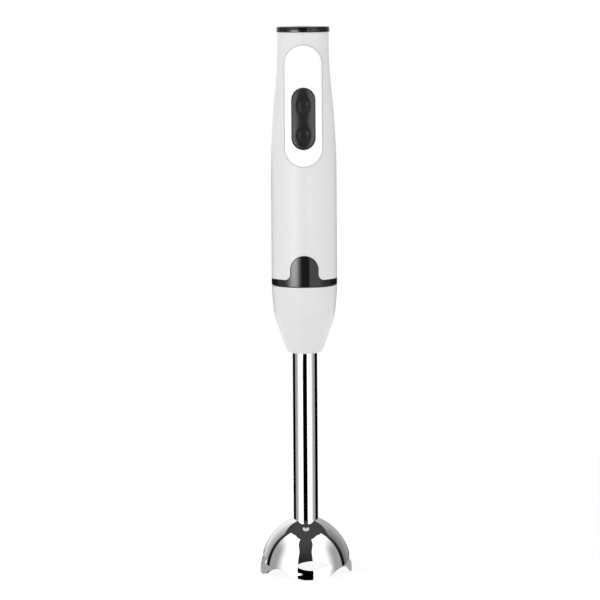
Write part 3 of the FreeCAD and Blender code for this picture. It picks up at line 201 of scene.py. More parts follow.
def make_world():
    world = bpy.data.worlds.new("studio")
    world.use_nodes = True
    bpy.context.scene.world = world
    tree = world.node_tree
    tree.nodes.clear()
    x, y, z = split(tree, tree.nodes.new("ShaderNodeTexCoord").outputs["Generated"])
    across = maths(tree, "DEGREES", maths(tree, "ARCTAN2", x, maths(tree, "MULTIPLY", y, -1.0)))
    turned = maths(tree, "ABSOLUTE", maths(tree, "ADD", across, SHIFT))
    height = maths(tree, "DEGREES", maths(tree, "ARCSINE", z))

    def above(thing, edge, soft=SOFT):
        return ramp(tree, thing, edge - soft, edge + soft)

    def below(thing, edge, soft=SOFT):
        return ramp(tree, thing, edge - soft, edge + soft, 1.0, 0.0)

    flare = ramp(tree, height, FLARE_FROM, FLARE_TO, 0.0, GAP_FLARE)
    inner = maths(tree, "SUBTRACT", turned, maths(tree, "ADD", flare, GAP_HALF))
    top = ramp(tree, turned, DROP_FROM, DROP_TO, BOX_TOP, BOX_TOP - TOP_DROP)
    box = times(tree, above(inner, 0.0, GAP_SOFT), below(turned, BOX_END),
                above(maths(tree, "SUBTRACT", top, height), 0.0))
    fade = times(tree, ramp(tree, turned, FADE_SIDE_FROM, FADE_SIDE_TO),
                 ramp(tree, height, FADE_UP_FROM, FADE_UP_TO, 1.0, 0.0), BOX_FADE)
    box = times(tree, box, maths(tree, "SUBTRACT", BOX_POWER, fade))
    behind = ramp(tree, turned, REAR_START - SOFT, REAR_START + 6 * SOFT)
    side = times(tree, ramp(tree, x, -SIDE_SOFT, SIDE_SOFT, REAR_LEFT, REAR_RIGHT),
                 ramp(tree, turned, REAR_START, REAR_FULL, REAR_SIDE, 1.0))
    rear = times(tree, behind, side, below(height, REAR_TOP, 2 * SOFT), above(height, REAR_LOW))
    ground = times(tree, behind, below(height, REAR_BELOW))
    ceiling = times(tree, ramp(tree, height, CEILING_FROM, BOX_TOP), CEILING)
    light = maths(tree, "ADD", maths(tree, "ADD", box, rear), maths(tree, "ADD", ground, ceiling))

    def sheen(power, at, width, low, high):
        away = maths(tree, "ABSOLUTE", maths(tree, "SUBTRACT", across, at))
        return times(tree, ramp(tree, away, 0, width, 1.0, 0.0), above(height, low),
                     below(height, high), power)

    ray = tree.nodes.new("ShaderNodeLightPath")
    gloss = maths(tree, "ADD", *(sheen(*row) for row in SHEENS))
    light = maths(tree, "ADD", light, times(tree, gloss, ray.outputs["Is Glossy Ray"]))
    studio = tree.nodes.new("ShaderNodeBackground")
    tree.links.new(light, studio.inputs["Strength"])
    studio.inputs["Color"].default_value = (1, 1, 1, 1)
    backdrop = tree.nodes.new("ShaderNodeBackground")
    backdrop.inputs["Color"].default_value = (1, 1, 1, 1)
    mix = tree.nodes.new("ShaderNodeMixShader")
    tree.links.new(ray.outputs["Is Camera Ray"], mix.inputs[0])
    tree.links.new(studio.outputs[0], mix.inputs[1])
    tree.links.new(backdrop.outputs[0], mix.inputs[2])
    out = tree.nodes.new("ShaderNodeOutputWorld")
    tree.links.new(mix.outputs[0], out.inputs["Surface"])


make_world()
print("two soft boxes from", GAP_HALF, "to", BOX_END, "degrees either side")

# %% [markdown]
# The floor is pale paper that glows a little by itself, so that it runs into the backdrop with no
# horizon, and keeps only a faint contact shadow near the object. It is clear from below, and clear
# to reflections, so that the steel mirrors the studio's own lower half, gap and all.

# %% Lay the floor
FLOOR_HALF = 9.0
GLOW = 0.9               # how much of the floor's white is its own near the object
PAPER = 0.14             # how much it takes from the lights there
FADE_FROM, FADE_TO = 0.10, 0.55
NEAR = 0.16              # metres of floor that reflections can see
MIRRORED = 0.36          # and how bright the paper is in them
NEAR_FRONT = -0.01       # reflections see the paper only from here backwards


def make_floor():
    mesh = bpy.data.meshes.new("floor")
    half = FLOOR_HALF
    mesh.from_pydata([(-half, -half, 0), (half, -half, 0), (half, half, 0), (-half, half, 0)], [],
                     [(0, 1, 2, 3)])
    floor = put_in_scene("floor", mesh)
    material = bpy.data.materials.new("floor_paper")
    material.use_nodes = True
    tree = material.node_tree
    tree.nodes.clear()
    place = own_place(tree)
    reach = vector_maths(tree, "LENGTH", place)
    far = ramp(tree, reach, FADE_FROM, FADE_TO)
    glow = tree.nodes.new("ShaderNodeEmission")
    glossy = tree.nodes.new("ShaderNodeLightPath").outputs["Is Glossy Ray"]
    own = maths(tree, "MULTIPLY_ADD", far, 1.0 - GLOW, GLOW)
    dimmed = maths(tree, "MULTIPLY_ADD", glossy, MIRRORED - 1.0, 1.0)
    link_in(tree, glow.inputs["Strength"], maths(tree, "MULTIPLY", own, dimmed))
    paper = tree.nodes.new("ShaderNodeBsdfDiffuse")
    link_in(tree, paper.inputs["Color"],
            blend_colours(tree, far, (PAPER, PAPER, PAPER, 1), (0, 0, 0, 1)))
    both = tree.nodes.new("ShaderNodeAddShader")
    tree.links.new(glow.outputs[0], both.inputs[0])
    tree.links.new(paper.outputs[0], both.inputs[1])
    clear = tree.nodes.new("ShaderNodeBsdfTransparent")
    mix = tree.nodes.new("ShaderNodeMixShader")
    beneath = tree.nodes.new("ShaderNodeNewGeometry").outputs["Backfacing"]
    # the paper just behind the feet does show in the steel, as a white edge low on the bell
    near = maths(tree, "MULTIPLY", maths(tree, "LESS_THAN", reach, NEAR),
                 maths(tree, "GREATER_THAN", split(tree, place)[1], NEAR_FRONT))
    glossy = maths(tree, "MULTIPLY", glossy, maths(tree, "SUBTRACT", 1.0, near))
    link_in(tree, mix.inputs[0], maths(tree, "MAXIMUM", glossy, beneath))
    tree.links.new(both.outputs[0], mix.inputs[1])
    tree.links.new(clear.outputs[0], mix.inputs[2])
    out = tree.nodes.new("ShaderNodeOutputMaterial")
    tree.links.new(mix.outputs[0], out.inputs["Surface"])
    mesh.materials.append(material)


MIDDLE = Vector((0, 0, 0.19))
LAMPS = (("top_lamp", (-0.3, -0.5, 1.6), (1.4, 1.4), 4.0),
         ("left_lamp", (-1.33, -0.7, 0.4), (0.5, 1.0), 6.5),
         ("right_lamp", (1.33, -0.7, 0.4), (0.5, 1.0), 5.0))


def add_soft_lamp(name, place, size, power):
    """A wide lamp that lights plastic but leaves no shape in the steel."""
    lamp = bpy.data.lights.new(name, "AREA")
    lamp.shape = "RECTANGLE"
    lamp.size, lamp.size_y = size
    lamp.energy = power
    item = put_in_scene(name, lamp)
    item.location = place
    item.rotation_euler = (MIDDLE - Vector(place)).to_track_quat("-Z", "Y").to_euler()
    item.visible_glossy = False


make_floor()
for lamp_row in LAMPS:
    add_soft_lamp(*lamp_row)
print("floor and", len(LAMPS), "soft lamps ready")

# %% [markdown]
# ## Joined surfaces
# A moulding is a handful of surfaces: outside, inside, and the walls round its openings. Each is
# written with exact normals from its own formula, so that a mirror finish shows no facets, and
# points that meet are welded. The mesh comes out closed, with sharp edges only where it should.

# %% Weld surfaces into one piece
WELD = 0.001             # mm
SHARP_ANGLE = math.radians(35)
SPLIT_COSINE = math.cos(SHARP_ANGLE)


def unit(vectors):
    vectors = np.asarray(vectors, float)
    return vectors / np.maximum(np.linalg.norm(vectors, axis=-1, keepdims=True), 1e-12)


def weld(points):
    """The first point of each welded place, and which place every point belongs to."""
    # the odd offset keeps round numbers away from the border between two places
    keys = np.floor(points / WELD + 0.37).astype(np.int64)
    _, first, index = np.unique(keys, axis=0, return_index=True, return_inverse=True)
    return first, index.reshape(-1)


class Skin:
    """Surfaces in millimetres, each with its own normals, that become one welded piece."""

    def __init__(self):
        self.points, self.normals, self.faces, self.count = [], [], [], 0

    def add(self, points, normals, faces):
        self.points.append(np.asarray(points, float).reshape(-1, 3))
        self.normals.append(np.asarray(normals, float).reshape(-1, 3))
        self.faces += [tuple(int(i) + self.count for i in face) for face in faces]
        self.count += len(self.points[-1])

    def mirrored(self):
        other = Skin()
        flip = np.array([-1.0, 1.0, 1.0])
        other.add(np.concatenate(self.points) * flip, np.concatenate(self.normals) * flip,
                  [face[::-1] for face in self.faces])
        return other

    def piece(self, name):
        points, normals = np.concatenate(self.points), np.concatenate(self.normals)
        first, index = weld(points)
        faces, corners = [], []
        for face in self.faces:
            kept, seen = [], set()
            for i in face:
                if index[i] not in seen:
                    seen.add(index[i])
                    kept.append(i)
            if len(kept) > 2:
                faces.append([int(index[i]) for i in kept])
                corners += kept
        mesh = bpy.data.meshes.new(name)
        mesh.from_pydata((points[first] * MM).tolist(), [], faces)
        mesh.shade_smooth()
        mesh.normals_split_custom_set(unit(normals[corners]).tolist())
        return put_in_scene(name, mesh)


# %% [markdown]
# A turned piece is a closed outline spun round the axis. The outline is walked with the material
# on its left, and a corner may carry a radius, which rounds it as a real tool or mould would.

# %% Outlines and turning
ROUND_STEP = math.radians(12)
TURN_STEPS = 160


def bow(centre, radius, start, end, steps=None):
    """Points on an arc from one angle to another, in degrees."""
    start, end = math.radians(start), math.radians(end)
    steps = steps or max(2, math.ceil(abs(end - start) / ROUND_STEP))
    return [(centre[0] + radius * math.cos(start + (end - start) * k / steps),
             centre[1] + radius * math.sin(start + (end - start) * k / steps))
            for k in range(steps + 1)]


def bend(first, last, radius, steps=24):
    """Points on the arc of a given radius between two points; a minus sign turns it over."""
    a, b = np.array(first, float), np.array(last, float)
    half = np.linalg.norm(b - a) / 2
    across = np.array([-(b - a)[1], (b - a)[0]]) / (2 * half)
    size = abs(radius)
    centre = (a + b) / 2 + across * math.copysign(math.sqrt(size * size - half * half), radius)
    start = math.atan2(*(a - centre)[::-1])
    sweep = math.atan2(*(b - centre)[::-1]) - start
    sweep = (sweep + math.pi) % (2 * math.pi) - math.pi
    return [tuple(centre + size * np.array([math.cos(start + sweep * k / steps),
                                            math.sin(start + sweep * k / steps)]))
            for k in range(steps + 1)]


def rounded(corners):
    """A closed outline from corners (r, z) or (r, z, radius)."""
    points = []
    for i, corner in enumerate(corners):
        here = np.array(corner[:2], float)
        if len(corner) < 3:
            points.append(tuple(here))
            continue
        before = unit(np.array(corners[i - 1][:2], float) - here)
        after = unit(np.array(corners[(i + 1) % len(corners)][:2], float) - here)
        opening = math.acos(max(-1.0, min(1.0, float(before @ after))))
        reach = corner[2] / math.tan(opening / 2)
        steps = max(2, math.ceil((math.pi - opening) / ROUND_STEP))
        centre = here + unit(before + after) * corner[2] / math.sin(opening / 2)
        start, end = here + before * reach - centre, here + after * reach - centre
        angle = math.atan2(start[0] * end[1] - start[1] * end[0], float(start @ end))
        for k in range(steps + 1):
            c, s = math.cos(angle * k / steps), math.sin(angle * k / steps)
            points.append((centre[0] + start[0] * c - start[1] * s,
                           centre[1] + start[0] * s + start[1] * c))
    return points


def turn(skin, outline, steps=TURN_STEPS):
    """Spin a closed outline of (r, z) points, walked with the material on its left."""
    flat = np.array(outline, float)
    run = np.roll(flat, -1, axis=0) - flat
    keep = np.linalg.norm(run, axis=1) > 1e-6
    flat, run = flat[keep], run[keep]
    run = np.roll(flat, -1, axis=0) - flat
    out = np.stack([run[:, 1], -run[:, 0]], axis=1)          # length-weighted, pointing outwards
    size = len(flat)
    spin = np.arange(steps) * 2 * math.pi / steps
    for i in range(size):
        j, before = (i + 1) % size, (i - 1) % size
        if flat[i][0] < 1e-6 and flat[j][0] < 1e-6:
            continue
        own = unit(out[i])
        start = own if unit(out[before]) @ own < SPLIT_COSINE else unit(out[before] + out[i])
        end = own if unit(out[j]) @ own < SPLIT_COSINE else unit(out[j] + out[i])
        points, normals, faces = [], [], []
        for k, angle in enumerate(spin):
            s, c = math.sin(angle), -math.cos(angle)
            for (r, z), n in ((flat[i], start), (flat[j], end)):
                points.append((r * s, r * c, z))
                normals.append((n[0] * s, n[0] * c, n[1]))
            a, b = 2 * k, 2 * ((k + 1) % steps)
            faces.append((a, b, b + 1, a + 1))
        skin.add(points, normals, faces)


# %% [markdown]
# A skin with openings is laid out flat first, like a label unrolled from a can. The flat outline
# is filled with even triangles, with extra rows of points where an edge is rounded, and then every
# point is lifted onto the real surface, once outside and once inside. Walls join the two.

# %% Fill a flat outline
def dense(points, step, closed=True):
    """The same path with a point at least every step."""
    filled = []
    last = len(points) if closed else len(points) - 1
    for i in range(last):
        a, b = np.array(points[i], float), np.array(points[(i + 1) % len(points)], float)
        count = max(1, math.ceil(np.linalg.norm(b - a) / step))
        filled += [tuple(a + (b - a) * k / count) for k in range(count)]
    return filled if closed else filled + [tuple(points[-1])]


def distance(points, loops):
    """How far each point is from the nearest of several closed or open paths."""
    best = np.full(len(points), 1e9)
    for path in loops:
        path = np.asarray(path, float)
        for a, b in zip(path[:-1], path[1:]):
            run = b - a
            along = np.clip((points - a) @ run / max(run @ run, 1e-12), 0, 1)
            best = np.minimum(best, np.linalg.norm(points - a - along[:, None] * run, axis=1))
    return best


def is_inside(points, loops):
    """Even-odd test against closed loops."""
    odd = np.zeros(len(points), bool)
    for loop in loops:
        loop = np.asarray(loop, float)
        for a, b in zip(loop, np.roll(loop, -1, axis=0)):
            if a[1] == b[1]:
                continue
            crosses = (points[:, 1] < a[1]) != (points[:, 1] < b[1])
            level = (points[:, 1] - a[1]) / (b[1] - a[1]) * (b[0] - a[0]) + a[0]
            odd ^= crosses & (points[:, 0] < level)
    return odd


def inset(loop, reach):
    """A closed loop moved sideways, to the left of its walk."""
    loop = np.asarray(loop, float)
    ahead, behind = np.roll(loop, -1, axis=0) - loop, loop - np.roll(loop, 1, axis=0)
    along = unit(unit(ahead) + unit(behind))
    return loop + np.stack([-along[:, 1], along[:, 0]], axis=1) * reach


ROW_CLEAR = 0.7          # a row stays this share of its distance away from every edge
GRID_CLEAR = 0.6         # a grid point stays this share of the spacing away from the rows
EDGE_CLEAR = 0.05        # mm between a free row and the last row along an edge
SLIVER = 1e-7            # mm2, below which a triangle is dropped


def fill(loops, spacing, edge_rows=(), rows=()):
    """Triangles inside closed loops; edge_rows are distances at which the loops are repeated."""
    loops = [np.asarray(loop, float) for loop in loops]
    closed = [np.vstack([loop, loop[:1]]) for loop in loops]
    extra = [inset(loop, reach) for loop in loops for reach in edge_rows]
    levels = [np.full(len(part), reach) for part, reach in
              zip(extra, [reach for _ in loops for reach in edge_rows])]
    if extra:
        line, level = np.vstack(extra), np.concatenate(levels)
        good = is_inside(line, loops) & (distance(line, closed) > ROW_CLEAR * level)
        extra = [line[good]]
    margin = max(list(edge_rows) + [0]) + EDGE_CLEAR
    for row in rows:
        row = np.asarray(row, float)
        good = is_inside(row, loops) & (distance(row, closed) > margin)
        extra.append(row[good])
    low, high = loops[0].min(axis=0), loops[0].max(axis=0)
    grid = []
    step_up = spacing * math.sqrt(3) / 2
    for j in range(int((high[1] - low[1]) / step_up) + 1):
        shift = spacing / 2 if j % 2 else 0
        for i in range(int((high[0] - low[0]) / spacing) + 1):
            grid.append((low[0] + i * spacing + shift, low[1] + (j + 0.5) * step_up))
    grid = np.array(grid)
    fixed = np.vstack(loops + extra)
    tree = KDTree(len(fixed))
    for i, (u, v) in enumerate(fixed):
        tree.insert((u, v, 0), i)
    tree.balance()
    grid = grid[is_inside(grid, loops)]
    clear = [g for g in grid if tree.find((g[0], g[1], 0))[2] > GRID_CLEAR * spacing]
    grid = np.array(clear).reshape(-1, 2)
    points = np.vstack([fixed, grid])
    edges, start = [], 0
    for loop in loops:
        edges += [(start + i, start + (i + 1) % len(loop)) for i in range(len(loop))]
        start += len(loop)
    found = delaunay_2d_cdt([Vector(p) for p in points], edges, [], 0, 1e-5)
    flat = np.array([tuple(v) for v in found[0]])
    triangles = np.array(found[2])
    middle = flat[triangles].mean(axis=1)
    a, b, c = (flat[triangles[:, k]] for k in range(3))
    area = (b[:, 0] - a[:, 0]) * (c[:, 1] - a[:, 1]) - (b[:, 1] - a[:, 1]) * (c[:, 0] - a[:, 0])
    real = is_inside(middle, loops) & (np.abs(area) > SLIVER)
    triangles, area = triangles[real], area[real]
    triangles[area < 0] = triangles[area < 0][:, ::-1]
    return flat, triangles


# %% Give a filled outline its thickness
def thicken(skin, outer, outer_normals, inner, inner_normals, triangles):
    """Outside, inside and the walls between them, for triangles that face out anticlockwise."""
    skin.add(outer, outer_normals, triangles)
    skin.add(inner, inner_normals, triangles[:, ::-1])
    _, index = weld(outer)
    seen = {}
    for triangle in triangles:
        for k in range(3):
            i, j = int(triangle[k]), int(triangle[(k + 1) % 3])
            key = (min(index[i], index[j]), max(index[i], index[j]))
            seen.setdefault(key, []).append((i, j))
    rim = [edges[0] for edges in seen.values() if len(edges) == 1]
    faces_out, starts, ends = [], {}, {}
    for n, (i, j) in enumerate(rim):
        across = np.cross(outer[i] - outer[j], inner[i] - outer[i])
        faces_out.append(across)
        starts[index[i]], ends[index[j]] = n, n
    points, normals, faces = [], [], []
    for n, (i, j) in enumerate(rim):
        own = unit(faces_out[n])
        pair = []
        for other in (ends.get(index[i]), starts.get(index[j])):
            turned = faces_out[other] if other is not None else faces_out[n]
            pair.append(unit(faces_out[n] + turned) if unit(turned) @ own > SPLIT_COSINE else own)
        base = len(points)
        points += [outer[j], outer[i], inner[i], inner[j]]
        normals += [pair[1], pair[0], pair[0], pair[1]]
        faces.append((base, base + 1, base + 2, base + 3))
    skin.add(points, normals, faces)


def lifted(surface, flat, step=1e-3):
    """Points of a surface over a flat layout, and its normals from small steps each way."""
    points = surface(flat)
    ahead = surface(flat + (step, 0)) - surface(flat - (step, 0))
    above = surface(flat + (0, step)) - surface(flat - (0, step))
    return points, unit(np.cross(ahead, above))


def eased(reach, radius):
    """How far a rounded edge has fallen away at a distance from its opening."""
    inside = np.clip(radius - np.maximum(reach, 0.04 * radius), 0, None)
    return radius - np.sqrt(np.maximum(radius * radius - inside * inside, 0))


EDGE_ROWS = (0.03, 0.09, 0.18, 0.3)
EDGE_RADIUS = 0.3
print("mesh helpers ready")

# %% [markdown]
# ## The handle's outline
# The motor body is a straight tube up to the shoulder, then an outward arc and an inward arc take
# it down to a waist just under the cap. The levels are read from the frame's own boxes.


# %% Handle sizes
def level(name, end="low", axis=2):
    """A node's lowest or highest coordinate, in millimetres."""
    low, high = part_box(name)
    return (low if end == "low" else high)[axis] / MM


TOP = level("top_cap", "high")
SHELL_LOW, SHELL_HIGH = level("right_shell"), level("right_shell", "high")
BODY_RADIUS = level("right_shell", "high", 0)
PANEL_RAISE = -level("right_shell", "low", 1) - BODY_RADIUS + 0.04
WAIST_RADIUS = 17.4
SHELL_WALL = 2.2
SHOULDER, WAIST = TOP - 101.0, TOP - 10.0
SHOULDER_ARC = 550.0
DEPTH, LENGTH = BODY_RADIUS - WAIST_RADIUS, WAIST - SHOULDER
WAIST_ARC = (LENGTH ** 2 + DEPTH ** 2) / (2 * DEPTH) - SHOULDER_ARC
BEND_Z = SHOULDER + SHOULDER_ARC * LENGTH / (SHOULDER_ARC + WAIST_ARC)


def handle_radius(z):
    """Radius of the motor body's skin at each height."""
    z = np.asarray(z, float)
    up = np.clip(z - SHOULDER, 0, BEND_Z - SHOULDER)
    down = np.clip(WAIST - z, 0, WAIST - BEND_Z)
    high = BODY_RADIUS - SHOULDER_ARC + np.sqrt(SHOULDER_ARC ** 2 - up ** 2)
    low = WAIST_RADIUS + WAIST_ARC - np.sqrt(WAIST_ARC ** 2 - down ** 2)
    return np.where(z < BEND_Z, high, low)


print("body radius", round(BODY_RADIUS, 2), "panel stands proud by", round(PANEL_RAISE, 2))

# %% [markdown]
# ## Two half shells
# The body is moulded in two halves that meet on the front and back centre lines, so a fine seam
# runs from the cap through the panel and the button to the tongue. A long raised panel frames the
# button. All of it is one flat layout per half: angle across, height up, with notches for the
# tongue and the button and slots for the motor's air at the back.

# %% Panel, opening and tongue sizes
PANEL_HALF, PANEL_LOW, PANEL_HIGH = 13.2, TOP - 94.4, TOP - 12.1
PANEL_EDGE = 0.9         # width of the panel's soft step
BUTTON_HALF, BUTTON_LOW, BUTTON_HIGH = (level("button_pad", "high", 0), level("button_pad"),
                                        level("button_pad", "high"))
SIDE_GAP, END_GAP = 0.35, 0.9
TONGUE_TOP = level("base_ring", "high")
RING_LOW, RING_HIGH = level("base_ring"), SHELL_LOW - 0.1
RING_RADIUS = level("base_ring", "high", 0)
TONGUE_HALF, TONGUE_FILLET = 9.56, 3.7
SEAM_GROOVE = 0.16
UNROLL = 20.0            # radius at which the layout is unrolled
VENT_HALF, VENT_HEIGHT, VENT_PITCH, VENT_CORNER = 1.0, 9.0, 4.4, 0.5
VENT_LOWS = (SHELL_LOW + 15.7, SHOULDER + 62.0)
VENTS_PER_ROW = 3        # on each half
TONGUE_CLEAR = 0.1       # between the shells and the tongue
SHELL_SPACING = 1.6      # of the shell's triangles
# how far apart the points along its edges are, and the rows of points across the panel's step
OPENING_STEP, SLOT_STEP, PANEL_STEP, RIM_STEP = 0.8, 0.9, 1.0, 1.2
PANEL_ROWS = (-0.1, 0.1, 0.25, 0.4, 0.55, 0.7, 0.85, 1.0)
# angles from the front at which the wall behind the panel turns back to an even thickness
FLAT_TO, FLAT_RUN = math.radians(62), math.radians(25)
SEAM_HALF = 0.01         # the gap between each half and the middle plane


def tongue_side(grow):
    """The tongue's right edge from its peak down to the ring, grown by a clearance."""
    half, fillet, foot = TONGUE_HALF + grow, TONGUE_FILLET + grow, RING_HIGH + grow
    straight = TONGUE_TOP - TONGUE_HALF
    return (bow((0, straight), half, 90, 0, 24)
            + bow((half + fillet, foot + fillet), fillet, 180, 270, 10))


def shell_outline():
    """One half's flat outline: x across in front of the seam, height up."""
    half = BUTTON_HALF + SIDE_GAP
    low, high = BUTTON_LOW - END_GAP + half, BUTTON_HIGH + END_GAP - half
    front = bow((0, high), half, 90, 0, 20) + bow((0, low), half, 0, -90, 20)
    return (dense(front, OPENING_STEP, False),
            dense(tongue_side(TONGUE_CLEAR), OPENING_STEP, False))


def to_flat(path, lift=0.0, back=False):
    """Turn (x, height) points into the unrolled layout."""
    path = np.asarray(path, float)
    angle = np.arcsin(np.clip(path[:, 0] / (handle_radius(path[:, 1]) + lift), -1, 1))
    angle = math.pi - angle if back else angle
    return np.stack([angle * UNROLL, path[:, 1]], axis=1)


def capsule(half, low, high, steps=28):
    """Right side of a stadium, from the bottom of its end to the top."""
    return bow((0, low + half), half, -90, 0, steps) + bow((0, high - half), half, 0, 90, steps)


def panel_height(flat):
    """The raised panel, with a soft step round its edge."""
    angle, z = flat[:, 0] / UNROLL, flat[:, 1]
    x = np.abs((handle_radius(z) + PANEL_RAISE) * np.sin(angle))
    end = np.clip(z, PANEL_LOW + PANEL_HALF, PANEL_HIGH - PANEL_HALF)
    reach = (PANEL_HALF - np.hypot(x, z - end)) / PANEL_EDGE
    reach = np.where(np.cos(angle) > 0, np.clip(reach, 0, 1), 0)
    return PANEL_RAISE * reach * reach * (3 - 2 * reach)


# %% Build one half, then mirror it
def vent_slots():
    slots = []
    for base in VENT_LOWS:
        for step in range(VENTS_PER_ROW):
            middle = VENT_PITCH * (step + 0.5)
            c = VENT_CORNER
            a, b, low, high = middle - VENT_HALF, middle + VENT_HALF, base, base + VENT_HEIGHT
            corner = [((b - c, low + c), -90), ((b - c, high - c), 0), ((a + c, high - c), 90),
                      ((a + c, low + c), 180)]
            loop = [p for centre, start in corner for p in bow(centre, c, start, start + 90, 4)]
            slots.append(to_flat(dense(loop, SLOT_STEP), back=True))
    return slots


def make_half_shell():
    opening, notch = shell_outline()
    opening, notch = to_flat(opening, PANEL_RAISE), to_flat(notch)
    back = math.pi * UNROLL
    lower_seam = dense([tuple(opening[-1]), tuple(notch[0])], RIM_STEP, False)[1:-1]
    outline = np.vstack([
        notch, dense([tuple(notch[-1]), (back, SHELL_LOW)], RIM_STEP, False)[1:-1],
        dense([(back, SHELL_LOW), (back, SHELL_HIGH), (0, SHELL_HIGH), tuple(opening[0])],
              RIM_STEP, False)[:-1],
        opening, lower_seam])
    slots = vent_slots()
    rows = []
    for reach in PANEL_ROWS:
        line = capsule(PANEL_HALF - reach, PANEL_LOW + reach, PANEL_HIGH - reach)
        rows.append(to_flat(dense(line, PANEL_STEP, False), PANEL_RAISE))
    flat, triangles = fill([outline] + slots, SHELL_SPACING, EDGE_ROWS, rows)

    seam = [[(0, BUTTON_LOW - END_GAP), (0, TONGUE_TOP)],
            [(0, SHELL_HIGH), (0, BUTTON_HIGH + END_GAP)],
            [(back, SHELL_LOW), (back, SHELL_HIGH)]]
    edges = [opening, notch, [tuple(notch[-1]), (back, SHELL_LOW)],
             [(0, SHELL_HIGH), (back, SHELL_HIGH)]]
    edges += [np.vstack([slot, slot[:1]]) for slot in slots]

    def outside(flat):
        angle, z = flat[:, 0] / UNROLL, flat[:, 1]
        r = (handle_radius(z) + panel_height(flat) - eased(distance(flat, edges), EDGE_RADIUS)
             - eased(distance(flat, seam), SEAM_GROOVE))
        return np.stack([r * np.sin(angle), -r * np.cos(angle), z], axis=1)

    def inside(flat):
        # the wall behind the panel runs straight back, so the panel's sides keep their thickness
        angle, z = flat[:, 0] / UNROLL, flat[:, 1]
        r = handle_radius(z)
        lift = panel_height(flat)
        side = np.abs(np.sin(angle))
        straight = np.arcsin(np.clip(side * (r + lift) / (r - SHELL_WALL), 0, 1))
        fold = np.where(angle > math.pi / 2, math.pi - angle, angle)
        share = np.clip((FLAT_TO - fold) / FLAT_RUN, 0, 1)
        share = share * share * (3 - 2 * share)
        fold = fold + (straight - fold) * share
        angle = np.where(angle > math.pi / 2, math.pi - fold, fold)
        r = r - SHELL_WALL
        return np.stack([r * np.sin(angle), -r * np.cos(angle), z], axis=1)

    outer, normals = lifted(outside, flat)
    inner, inner_normals = lifted(inside, flat)
    gap = np.array([SEAM_HALF, 0, 0])
    skin = Skin()
    thicken(skin, outer + gap, normals, inner + gap, -inner_normals, triangles)
    return skin


half_shell = make_half_shell()
right_shell = half_shell.piece("shell_right")
left_shell = half_shell.mirrored().piece("shell_left")
print("each half shell has", len(right_shell.data.polygons), "faces")

# %% [markdown]
# ## Ring and tongue
# A black ring closes the bottom of the motor body, and a tongue grows out of it into a notch in
# the shells. It marks where the leg lines up. It is gloss black, so its rounded edges matter: they
# are the thin bright lines that separate black from white.

# %% Make the ring
RING_BORE, TONGUE_BACK = 17.0, RING_RADIUS - 2.05
RING_EDGE, RING_ROWS = 0.35, (0.03, 0.1, 0.2)
RING_SPACING, TONGUE_STEP, RING_STEP = 1.5, 0.7, 0.9
OVERRUN = 5.0            # the rounded edges run on past the two ends that meet at the back


def make_ring():
    side = np.array(dense(tongue_side(0.0), TONGUE_STEP, False))
    angle = np.arcsin(np.clip(side[:, 0] / RING_RADIUS, -1, 1)) * RING_RADIUS
    right = np.stack([angle, side[:, 1]], axis=1)
    left = right[::-1] * (-1, 1)
    half_round = math.pi * RING_RADIUS
    low = dense([(-half_round, RING_LOW), (half_round, RING_LOW)], RING_STEP, False)
    high = [(u, RING_HIGH) for u, _ in low]
    after = [p for p in high[::-1] if p[0] > right[-1][0] + 0.2]
    before = [p for p in high[::-1] if p[0] < left[0][0] - 0.2]
    rise = [RING_LOW + (RING_HIGH - RING_LOW) * k / 4 for k in (1, 2, 3)]
    outline = np.vstack([low, [(half_round, z) for z in rise], after, right[::-1],
                         left[::-1][1:], before, [(-half_round, z) for z in rise[::-1]]])
    # two rows, below and just above the place where the wall behind steps back to the tongue
    step = [dense([(-half_round, RING_HIGH + k), (half_round, RING_HIGH + k)], RING_STEP)
            for k in (-0.6, 0.02)]
    flat, triangles = fill([outline], RING_SPACING, RING_ROWS + (RING_EDGE,), step)
    far = half_round + OVERRUN
    paths = [np.array([(-far, RING_LOW), (far, RING_LOW)]),
             np.vstack([[(far, RING_HIGH)], right[::-1], left[::-1], [(-far, RING_HIGH)]])]

    def outside(flat):
        angle = flat[:, 0] / RING_RADIUS
        r = RING_RADIUS - eased(distance(flat, paths), RING_EDGE)
        return np.stack([r * np.sin(angle), -r * np.cos(angle), flat[:, 1]], axis=1)

    def inside(flat):
        angle = flat[:, 0] / RING_RADIUS
        r = np.where(flat[:, 1] > RING_HIGH + 0.01, TONGUE_BACK, RING_BORE)
        return np.stack([r * np.sin(angle), -r * np.cos(angle), flat[:, 1]], axis=1)

    outer, normals = lifted(outside, flat)
    inner = inside(flat)
    inner_normals = unit(inner * (-1, -1, 0))
    skin = Skin()
    thicken(skin, outer, normals, inner, inner_normals, triangles)
    return skin.piece("ring_and_tongue")


ring = make_ring()
print("ring and tongue", len(ring.data.polygons), "faces")

# %% [markdown]
# ## Cap and gland
# The cap is turned: a skirt that plugs the shells, a band with a fine line round it, a rounded
# shoulder and a flat crown with a hole for the cord's gland.

# %% Turn the cap and the gland
CAP_RADIUS = level("top_cap", "high", 0)
CAP_LOW = SHELL_HIGH + 0.1
CAP_RIM = TOP - 0.35
CAP_LINE = CAP_LOW + 0.42 * (TOP - CAP_LOW)
GLAND_RADIUS, GLAND_BORE = 4.7, 3.5
SKIRT_RADIUS, SKIRT_BORE, SKIRT_LOW = WAIST_RADIUS - 2.3, WAIST_RADIUS - 4.4, CAP_LOW - 8.4
CAP_UNDERSIDE, FLANGE_HIGH = CAP_LOW + 2.2, CAP_LOW + 2.15
GLAND_FLANGE = 5.6
LINE_DEPTH, SLIGHT = 0.4, 0.05
GLAND_STEPS = 96


